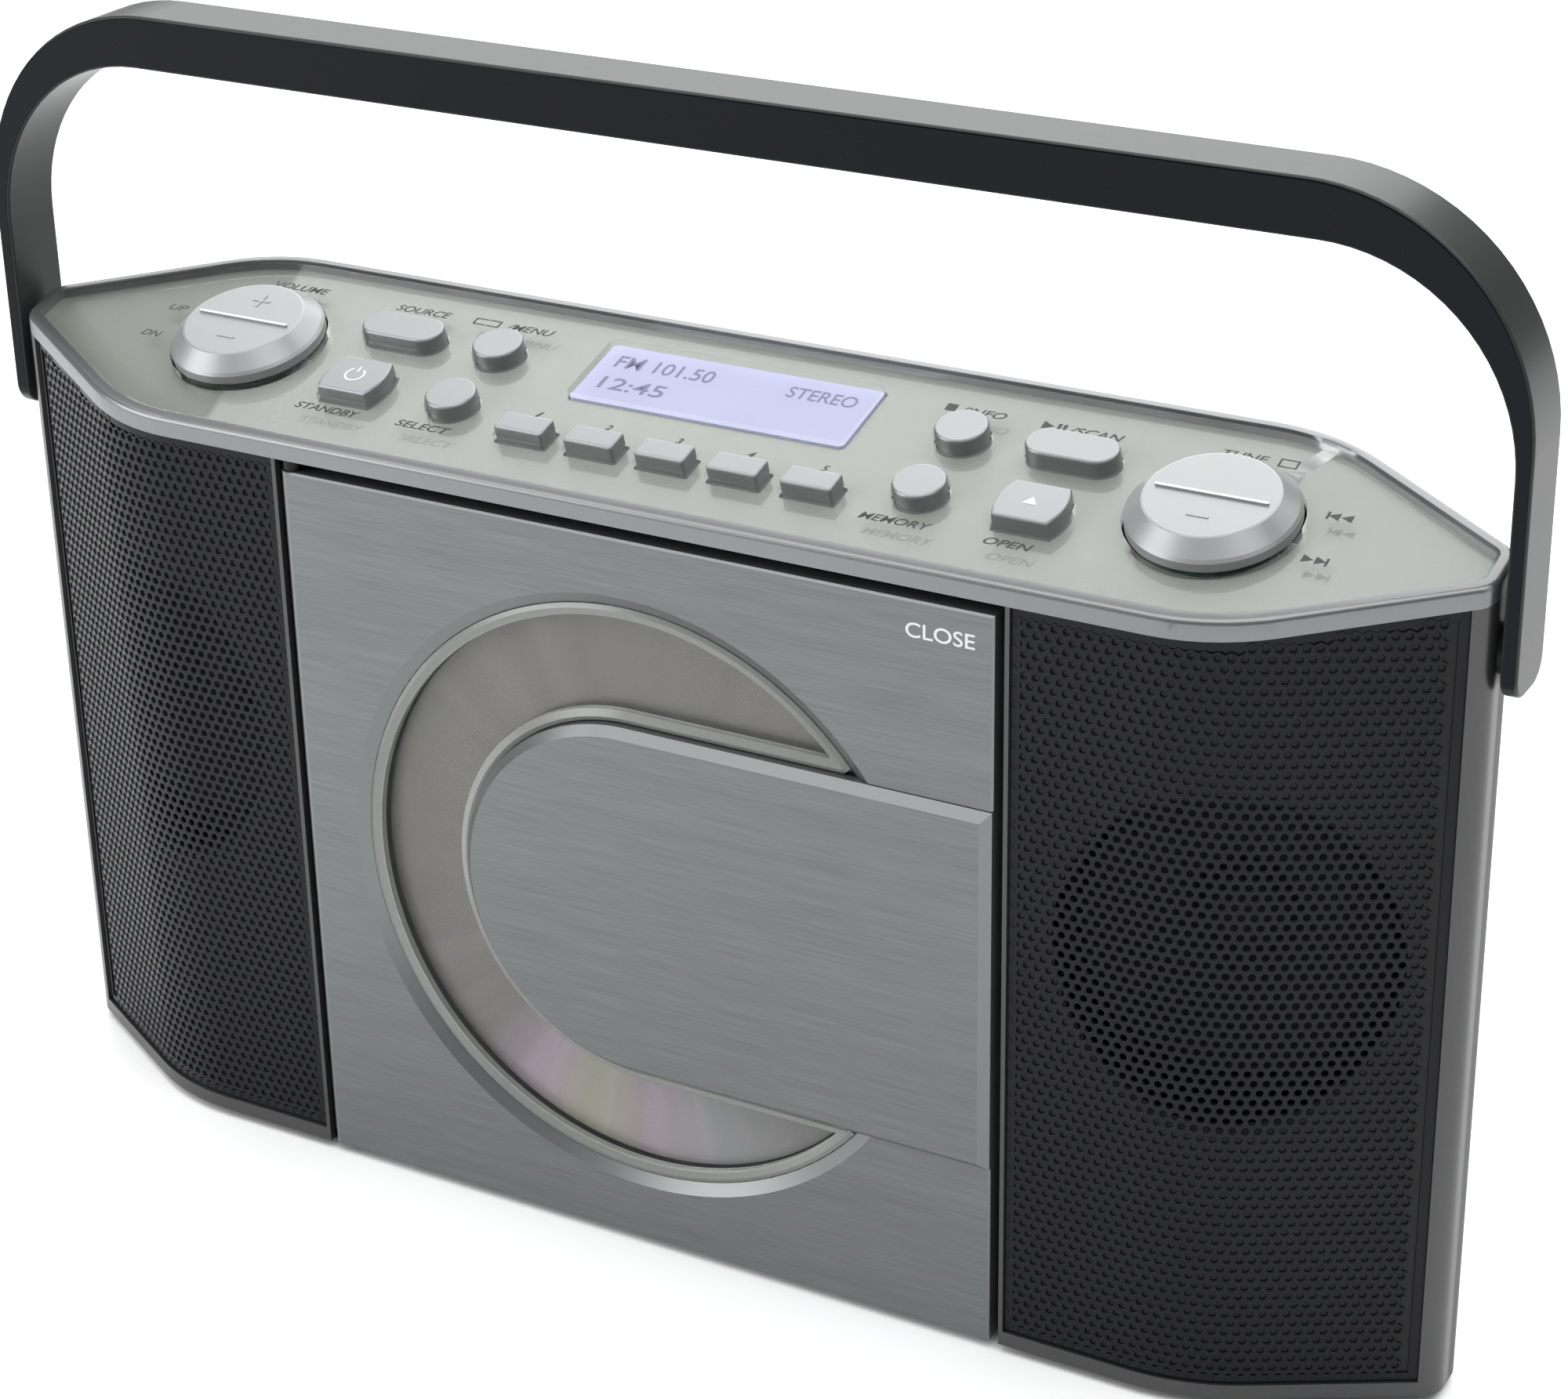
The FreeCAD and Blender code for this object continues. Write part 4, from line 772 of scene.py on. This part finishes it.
def make_sheet_tree():
    tree, inside, out = new_group(
        "GeometryNodeTree", "perforated_sheet",
        [("Cell", "NodeSocketObject", None), ("Pitch", "NodeSocketFloat", PITCH),
         ("Start", "NodeSocketFloat", SHEET_START), ("End", "NodeSocketFloat", SHEET_END),
         ("Bottom", "NodeSocketFloat", SHEET_BOTTOM), ("Top", "NodeSocketFloat", SHEET_TOP),
         ("Margin", "NodeSocketFloat", MARGIN), ("Finish", "NodeSocketMaterial", None)],
        [("Geometry", "NodeSocketGeometry")])
    pitch, start, end, bottom, top, margin = inside.outputs[1:7]
    calc = partial(math_node, tree)
    row_gap = calc("MULTIPLY", pitch, math.sqrt(3) / 2)
    first = calc("ADD", start, margin)
    length = calc("SUBTRACT", calc("SUBTRACT", end, margin), first)
    height = calc("ADD", calc("SUBTRACT", top, bottom), TALLER_BEHIND)
    columns = calc("FLOOR", calc("DIVIDE", length, pitch))
    rows = calc("FLOOR", calc("DIVIDE", height, row_gap))
    grid = add(tree, "GeometryNodeMeshGrid", 1.0, 1.0, columns, rows)
    index = add(tree, "GeometryNodeInputIndex").outputs[0]
    column = calc("FLOOR", calc("DIVIDE", index, rows))
    row = calc("FLOORED_MODULO", index, rows)
    stagger = calc("FLOORED_MODULO", row, 2.0)
    steps = calc("MULTIPLY_ADD", stagger, 0.5, column)
    along = calc("MULTIPLY_ADD", steps, pitch, calc("ADD", first, FIRST_ALONG))
    lift = calc("ADD", calc("ADD", bottom, margin), FIRST_UP)
    up = calc("MULTIPLY_ADD", row, row_gap, lift)
    flat = add(tree, "GeometryNodeSetPosition", grid.outputs[0], None,
               add(tree, "ShaderNodeCombineXYZ", along, up, 0.0).outputs[0])
    place = add(tree, "ShaderNodeSeparateXYZ", add(tree, "GeometryNodeInputPosition").outputs[0])
    rise = add(tree, "GeometryNodeGroup", node_tree=bend_group)
    tree.links.new(place.outputs[0], rise.inputs["Along"])
    limit = calc("MULTIPLY_ADD", rise.outputs["Y"], math.tan(SLOPE), top)
    limit = calc("SUBTRACT", calc("SUBTRACT", limit, margin), FIRST_UP)
    too_high = add(tree, "FunctionNodeCompare", place.outputs[1], limit,
                   data_type="FLOAT", operation="GREATER_THAN").outputs[0]
    kept = add(tree, "GeometryNodeDeleteGeometry", flat.outputs[0], too_high, domain="POINT")
    points = add(tree, "GeometryNodeMeshToPoints", kept.outputs[0])
    shape = add(tree, "GeometryNodeObjectInfo", inside.outputs["Cell"]).outputs["Geometry"]
    copies = add(tree, "GeometryNodeInstanceOnPoints", points.outputs[0], None, shape)
    real = add(tree, "GeometryNodeRealizeInstances", copies.outputs[0])
    at = add(tree, "ShaderNodeSeparateXYZ", add(tree, "GeometryNodeInputPosition").outputs[0])
    bent = add(tree, "GeometryNodeGroup", node_tree=bend_group)
    tree.links.new(at.outputs[0], bent.inputs["Along"])
    tree.links.new(at.outputs[2], bent.inputs["Depth"])
    depth = calc("ADD", bent.outputs["Y"], FRONT + SINK)
    where = add(tree, "ShaderNodeCombineXYZ", bent.outputs["X"], depth, at.outputs[1]).outputs[0]
    curved = add(tree, "GeometryNodeSetPosition", real.outputs[0], None, where)
    merged = add(tree, "GeometryNodeMergeByDistance", curved.outputs[0], None, CELL_WELD)
    painted = add(tree, "GeometryNodeSetMaterial", merged.outputs[0])
    tree.links.new(inside.outputs["Finish"], painted.inputs["Material"])
    tree.links.new(painted.outputs[0], out.inputs["Geometry"])
    return tree


sheet_tree = make_sheet_tree()
print("nodes in the sheet tree", len(sheet_tree.nodes))

# %% [markdown]
# A modifier could stay on each grille. Keeping the plain mesh it makes lets the border be
# joined on, and lets the left grille be a mirror image of the right one.

# %% Plain meshes from trees and curves
def evaluated_mesh(holder):
    """The mesh that an object's curve or modifiers make; the object itself goes."""
    evaluated = holder.evaluated_get(bpy.context.evaluated_depsgraph_get())
    mesh = bpy.data.meshes.new_from_object(evaluated)
    bpy.data.objects.remove(holder)
    return mesh


def built_by(tree, name, **values):
    """Runs a geometry tree on an empty object and returns the mesh it makes."""
    holder = add_object(name + "_builder", bpy.data.meshes.new("empty"))
    modifier = holder.modifiers.new("builder", "NODES")
    modifier.node_group = tree
    for item in tree.interface.items_tree:
        if item.in_out == "INPUT" and item.name in values:
            modifier[item.identifier] = values[item.name]
    mesh = evaluated_mesh(holder)
    mesh.name = name
    return mesh


def mirrored(mesh):
    copy = mesh.copy()
    copy.transform(Matrix.Diagonal((-1, 1, 1, 1)))
    copy.flip_normals()
    return copy


def joined(name, meshes):
    whole = bmesh.new()
    for mesh in meshes:
        whole.from_mesh(mesh)
    return mesh_from(whole, name)


print("mesh helpers ready")

# %% [markdown]
# A real grille has a plain edge round its holes. The cells could be cut along it, but a strip
# a hair under their collars hides the ragged edge, and follows the same bend and sloping top.

# %% Both grilles
def border_mesh(steps=40):
    """The plain edge all round the holes, a hair under their collars."""
    layout = bmesh.new()
    stops = [SHEET_START, SHEET_START + BORDER]
    stops += [SHEET_START + BORDER + (SHEET_END - SHEET_START - 2 * BORDER) * i / steps
              for i in range(1, steps + 1)]
    stops.append(SHEET_END)
    columns = []
    for along in stops:
        x, y = bend(along, HAIR)
        top = SHEET_TOP + y * math.tan(SLOPE)
        heights = (SHEET_BOTTOM, SHEET_BOTTOM + BORDER, top - BORDER, top)
        columns.append([layout.verts.new((x, FRONT + SINK + y, z)) for z in heights])
    last = len(columns) - 2
    for i, (a, b) in enumerate(zip(columns, columns[1:])):
        for band in range(3):
            if band != 1 or i in (0, last):
                layout.faces.new((a[band], b[band], b[band + 1], a[band + 1]))
    return mesh_from(layout, "border")


holes = built_by(sheet_tree, "holes", Cell=cell, Finish=grille_paint)
bpy.data.objects.remove(cell)
sheet = joined("sheet", [holes, border_mesh()])
sheet.shade_smooth()
right_grille = finish_piece("perforated_right", sheet, "housing", grille_paint)
left_grille = finish_piece("perforated_left", mirrored(sheet), "housing")
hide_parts("grille_right")
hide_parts("grille_left")
print("faces in a grille", len(sheet.polygons))

# %% [markdown]
# Behind the holes the moulding is black, with a round opening in front of each loudspeaker.
# A flat plate with a hole can't follow the bend, so the backing is a fan of quads from the
# opening out to the edges of the sheet. Its inner edge runs on into a short sleeve that hides
# the cut edge of the case.

# %% Backing behind a grille
SPEAKER_ALONG = 122.0 * MM
SPEAKER_UP = (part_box("speaker_frames")[0].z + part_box("speaker_frames")[1].z) / 2
SPEAKER_HOLE = 32.8 * MM
BACKING_DEPTH = 0.34 * MM
SLEEVE_LENGTH, SLEEVE_SHIFT = 12 * MM, 2.2 * MM
NEARLY_ZERO = 1e-6


def backing_mesh(rays=120, steps=14):
    layout = bmesh.new()
    corners = [math.atan2(z - SPEAKER_UP, x - SPEAKER_ALONG)
               for x in (SHEET_START, SHEET_END) for z in (SHEET_BOTTOM, SHEET_TOP)]
    rings = []
    for angle in sorted([math.tau * ray / rays - math.pi for ray in range(rays)] + corners):
        cosine, sine = math.cos(angle), math.sin(angle)
        reach_x = SHEET_END - SPEAKER_ALONG if cosine > 0 else SPEAKER_ALONG - SHEET_START
        reach_z = SHEET_TOP - SPEAKER_UP if sine > 0 else SPEAKER_UP - SHEET_BOTTOM
        far = min(reach_x / max(abs(cosine), NEARLY_ZERO), reach_z / max(abs(sine), NEARLY_ZERO))
        ring = []
        for step in range(-1, steps + 1):
            share = max(step, 0) / steps
            radius = SPEAKER_HOLE + (far - SPEAKER_HOLE) * share
            x, y = bend(SPEAKER_ALONG + radius * cosine, BACKING_DEPTH)
            if step < 0:
                x, y = x - SLEEVE_SHIFT, y + SLEEVE_LENGTH
            rise = 0.0
            if angle > 0:
                rise = share * y * math.tan(SLOPE) / (SHEET_TOP - SPEAKER_UP)
            up = SPEAKER_UP + radius * sine * (1 + rise)
            ring.append(layout.verts.new((x, FRONT + SINK + y, up)))
        rings.append(ring)
    for a, b in zip(rings, rings[1:] + rings[:1]):
        for step in range(steps + 1):
            layout.faces.new((a[step], a[step + 1], b[step + 1], b[step]))
    mesh = mesh_from(layout, "backing")
    mesh.shade_smooth()
    return mesh


backing = backing_mesh()
finish_piece("backing_right", backing, "housing", inner_black)
finish_piece("backing_left", mirrored(backing), "housing")
print("backing faces", len(backing.polygons))

# %% [markdown]
# Legends are printed in a wide slanted face. A font file would bring that face along, but
# Blender's own letters need no file and do when they are stretched to the printed width. Text
# is turned into a mesh first and placed after.

# %% Lettering
CAP_SHARE = 0.7
INK_THICK = 0.01 * MM
INK_SPREAD = 0.035 * MM


def lettering(words, cap_height, width, slant=0.0):
    """Letters as a mesh round its own middle; a capital is a fixed share of the font's size."""
    curve = bpy.data.curves.new("letters", "FONT")
    curve.body = words
    curve.size = cap_height / CAP_SHARE
    curve.shear = slant
    curve.extrude = INK_THICK
    curve.offset = INK_SPREAD
    mesh = evaluated_mesh(add_object("letters", curve))
    xs = [v.co.x for v in mesh.vertices]
    ys = [v.co.y for v in mesh.vertices]
    middle = Vector(((min(xs) + max(xs)) / 2, (min(ys) + max(ys)) / 2, 0))
    mesh.transform(Matrix.Translation(-middle))
    mesh.transform(Matrix.Diagonal((width / (max(xs) - min(xs)), 1, 1, 1)))
    return mesh


print("lettering ready")

# %% [markdown]
# Signs such as arrows and bars aren't in the font. They could be curves, but are simple enough
# to be thin polygons, given corner by corner in millimetres.

# %% Small flat signs
def flat_shape(points, thickness=INK_THICK):
    """A thin polygon from (x, y) points in millimetres."""
    layout = bmesh.new()
    low = [layout.verts.new((x * MM, y * MM, -thickness)) for x, y in points]
    high = [layout.verts.new((x * MM, y * MM, thickness)) for x, y in points]
    layout.faces.new(high)
    layout.faces.new(low[::-1])
    for i in range(len(points)):
        j = (i + 1) % len(points)
        layout.faces.new((low[i], low[j], high[j], high[i]))
    return mesh_from(layout, "shape")


def bar(x0, x1, y0, y1):
    return flat_shape([(x0, y0), (x1, y0), (x1, y1), (x0, y1)])


def arrow(x, direction, size=1.1):
    return flat_shape([(x, size), (x, -size), (x + 2 * size * direction, 0)][::direction])


def moved(mesh, u, v):
    mesh.transform(Matrix.Translation((u * MM, v * MM, 0)))
    return mesh


print("signs ready")

# %% [markdown]
# The legends are printed on the clear plate. They could be masks in its material; as thin
# meshes just under its top face they stay sharp at any distance. The table gives each word, its
# place on the deck and its width, and the rows below it the signs beside the words.

# %% Legends on the deck
WORDS = [("UP", -127.8, 35.5, 4.4), ("DN", -128.0, 25.9, 4.7), ("VOLUME", -105.4, 49.0, 13.5),
         ("SOURCE", -74.5, 48.3, 13.0), ("/MENU", -48.8, 48.3, 11.0),
         ("STANDBY", -74.8, 12.6, 15.0), ("SELECT", -52.3, 12.9, 12.5),
         ("/INFO", 52.6, 47.3, 9.6), ("/SCAN", 76.0, 46.9, 11.0), ("MEMORY", 51.5, 12.1, 14.6),
         ("OPEN", 74.4, 11.7, 9.6), ("TUNE", 105.0, 48.2, 9.0)]
CAPITALS, FIGURES = 1.95 * MM, (1.7 * MM, 1.5 * MM)
SLANT = 0.25
TALL = (-1.1, 1.1)
STOP_SIGN = [(45.9, 47.4, *TALL, *TALL)]
PAUSE_SIGN = [(u, 47.0, 0.0, 0.7, *TALL) for u in (68.0, 69.1)]
SKIP_SIGNS = ((128.1, -1, 35.8), (128.0, 1, 23.0))
SKIP_ARROWS, SKIP_BACK, SKIP_BAR = (-2.4, 0.0), 2.2, 2.4
WINDOW_SIGN = [(113.4, 48.1, *sides)
               for sides in ((-1.9, 1.9, 0.9, 1.25), (-1.9, 1.9, -1.25, -0.9),
                             (-1.9, -1.5, -1.25, 1.25), (1.5, 1.9, -1.25, 1.25))]
LOOP_SIGN = [(u, 48.3, -1.3, 1.3, *ends)
             for u in (-60.6, -57.6) for ends in ((-1.1, -0.75), (0.75, 1.1))]
LOOP_SIGN += [(-60.6, 48.3, -1.6, -1.2, *TALL), (-57.6, 48.3, 1.2, 1.6, *TALL)]
PRINT_DEPTH = -0.28 * MM


def bars(rows):
    return [moved(bar(*sides), u, v) for u, v, *sides in rows]


def legend_meshes():
    meshes = [moved(lettering(word, CAPITALS, width * MM, SLANT), u, v)
              for word, u, v, width in WORDS]
    for number in range(1, 6):
        low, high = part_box("key_preset_%d" % number)
        u = (low.x + high.x) / 2 / MM
        meshes.append(moved(lettering(str(number), *FIGURES, SLANT), u, 23.0))
    meshes += bars(STOP_SIGN)
    meshes.append(moved(arrow(-1.6, 1, 1.2), 66.6, 47.0))
    meshes += bars(PAUSE_SIGN)
    for x, sign, v in SKIP_SIGNS:
        meshes += [moved(arrow(0, sign), x - sign * shift - SKIP_BACK * sign, v)
                   for shift in SKIP_ARROWS]
        meshes += bars([(x + SKIP_BAR * sign, v, -0.25, 0.25, *TALL)])
    return meshes + bars(WINDOW_SIGN + LOOP_SIGN)


legends = joined("legends", legend_meshes())
legends.transform(DECK @ Matrix.Translation((0, 0, PRINT_DEPTH)))
finish_piece("deck_legends", legends, "housing", legend_ink)
print("legend faces", len(legends.polygons))

# %% [markdown]
# Two keys carry a sign of their own, standing a hair proud of the cap: an open ring with a stroke
# for standby and a small wedge for opening the door. Each rocker's crest gets a painted highlight:
# a pale strip where its ridge catches the light. A mask in the material could draw them, but thin
# pieces are easier to place, and they ride with their key or rocker.

# %% Signs on the keys and painted highlights on the rocker crests
KEY_SIGN = (74.2 * MM, 22.5 * MM, 1.62 * MM)
ROCKER_HIGHLIGHT = (106.2 * MM, 30.2 * MM, 4.62 * MM)
SIGN_THICK = 0.03 * MM


def on_ring(radius, angle):
    return radius * math.cos(angle), radius * math.sin(angle)


def ring_arc(radius, width, start, end, steps=28):
    """Flat tiles along an arc, its angles in degrees and its sizes in millimetres."""
    outer, inner = [], []
    for step in range(steps + 1):
        angle = math.radians(start + (end - start) * step / steps)
        outer.append(on_ring(radius + width / 2, angle))
        inner.append(on_ring(radius - width / 2, angle))
    return [flat_shape([inner[i], outer[i], outer[i + 1], inner[i + 1]], SIGN_THICK)
            for i in range(steps)]


standby_tiles = ring_arc(2.0, 0.45, -235, 55) + [bar(-0.22, 0.22, 0.9, 2.6)]
standby_sign = joined("standby", standby_tiles)
open_sign = flat_shape([(-1.5, -1.0), (1.5, -1.0), (0, 1.2)], SIGN_THICK)
for node, side, sign in (("key_standby", -1, standby_sign), ("key_open", 1, open_sign)):
    u, v, h = KEY_SIGN
    sign.transform(DECK @ Matrix.Translation((side * u, v, h)))
    finish_piece(node + "_sign", sign, node, ink_and_painted_highlight)
# The pale strip on each rocker's crest is a painted highlight, not print.
for node, side in (("rocker_volume", -1), ("rocker_tune", 1)):
    crest_highlight = bar(-10.9, 10.9, -0.3, 0.3)
    u, v, h = ROCKER_HIGHLIGHT
    crest_highlight.transform(DECK @ Matrix.Translation((side * u, v, h)))
    finish_piece(node + "_ridge", crest_highlight, node, ink_and_painted_highlight)
print("faces in the key signs", len(standby_sign.polygons), len(open_sign.polygons))

# %% [markdown]
# The display shows a frequency, a word and the time. A real one is a grid of dots. Plain letters
# read the same at this size, with far fewer faces. They lie just over the display's face.

# %% Display characters
SCREEN = [("FM 101.50", -16.0, 45.4, 22.0, 3.8), ("STEREO", 19.0, 45.4, 15.0, 3.4),
          ("12:45", -19.5, 38.2, 14.5, 3.8)]
DISPLAY_H = -1.8 * MM
ABOVE = 0.02 * MM

characters = joined("characters", [moved(lettering(words, cap * MM, width * MM), u, v)
                                   for words, u, v, width, cap in SCREEN])
characters.transform(DECK @ Matrix.Translation((0, 0, DISPLAY_H + ABOVE)))
finish_piece("display_characters", characters, "housing", segment_ink)
print("faces in the characters", len(characters.polygons))

# %% [markdown]
# The door says where to push. The word is printed on the metal, so it lies flat on the front
# of the door and swings with it. Raised letters would catch the light.

# %% The word on the door
close_word = lettering("CLOSE", 2.9 * MM, 13.9 * MM)
close_word.transform(Matrix.Translation((66.6 * MM, FRONT - 0.01 * MM, FLOOR_PAD + 148.6 * MM))
                     @ Matrix.Rotation(math.radians(90), 4, "X"))
finish_piece("door_word", close_word, "door", ink_and_painted_highlight)
print("faces in the word", len(close_word.polygons))

# %% [markdown]
# The clear crescent over the disc has two thick edges that catch the light and look milky: one
# round the outside, one along the tongue. Thick clear plastic would show this by itself after a
# very long render. Here one cross-section is swept along each edge, and its opaque pale grey-green
# colour is painted light, standing in for the light the thick clear edges gather.

# %% The window's thick edges
def swept_edge(path, profile):
    """A strip with the same cross-section all along a path of (point, sideways) pairs."""
    layout = bmesh.new()
    rows = []
    for point, side in path:
        rows.append([layout.verts.new(point + side * out + Vector((0, back, 0)))
                     for out, back in profile])
    count = len(profile)
    for a, b in zip(rows, rows[1:]):
        for i in range(count):
            j = (i + 1) % count
            layout.faces.new((a[i], b[i], b[j], a[j]))
    layout.faces.new(rows[0])
    layout.faces.new(rows[-1][::-1])
    bmesh.ops.recalc_face_normals(layout, faces=layout.faces)
    return mesh_from(layout, "edge")


WINDOW_R = 62.5 * MM
TONGUE_R = 38.35 * MM
WINDOW_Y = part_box("door_window")[0].y


def round_path(radius, start, end, steps):
    path = []
    for step in range(steps + 1):
        angle = math.radians(start + (end - start) * step / steps)
        side = Vector((math.cos(angle), 0, math.sin(angle)))
        path.append((Vector((DISC_X, WINDOW_Y, DISC_Z)) + side * radius, side))
    return path


EDGE_PROFILE = [(0, -0.1 * MM), (-0.9 * MM, -0.5 * MM), (-2.4 * MM, 0.1 * MM),
                (-2.4 * MM, 1.6 * MM), (0, 1.6 * MM)]
TIP_GAP = 1.5
STOP_SHORT = 2.5 * MM


def window_edges():
    tip = math.degrees(math.asin(TONGUE_R / WINDOW_R))
    outer = round_path(WINDOW_R, tip + TIP_GAP, 360 - tip - TIP_GAP, 160)
    inner = round_path(TONGUE_R, 90, 270, 80)
    reach = math.sqrt(WINDOW_R ** 2 - TONGUE_R ** 2) - STOP_SHORT
    for end in (1, -1):
        point = Vector((DISC_X + reach, WINDOW_Y, DISC_Z + end * TONGUE_R))
        inner.insert(0 if end > 0 else len(inner), (point, Vector((0, 0, end))))
    inward = [(-out, back) for out, back in EDGE_PROFILE]
    return joined("edges", [swept_edge(outer, EDGE_PROFILE), swept_edge(inner, inward)])


edges = finish_piece("window_edges", window_edges(), "door", painted_light_edge)
print("faces in the edges", len(edges.data.polygons))
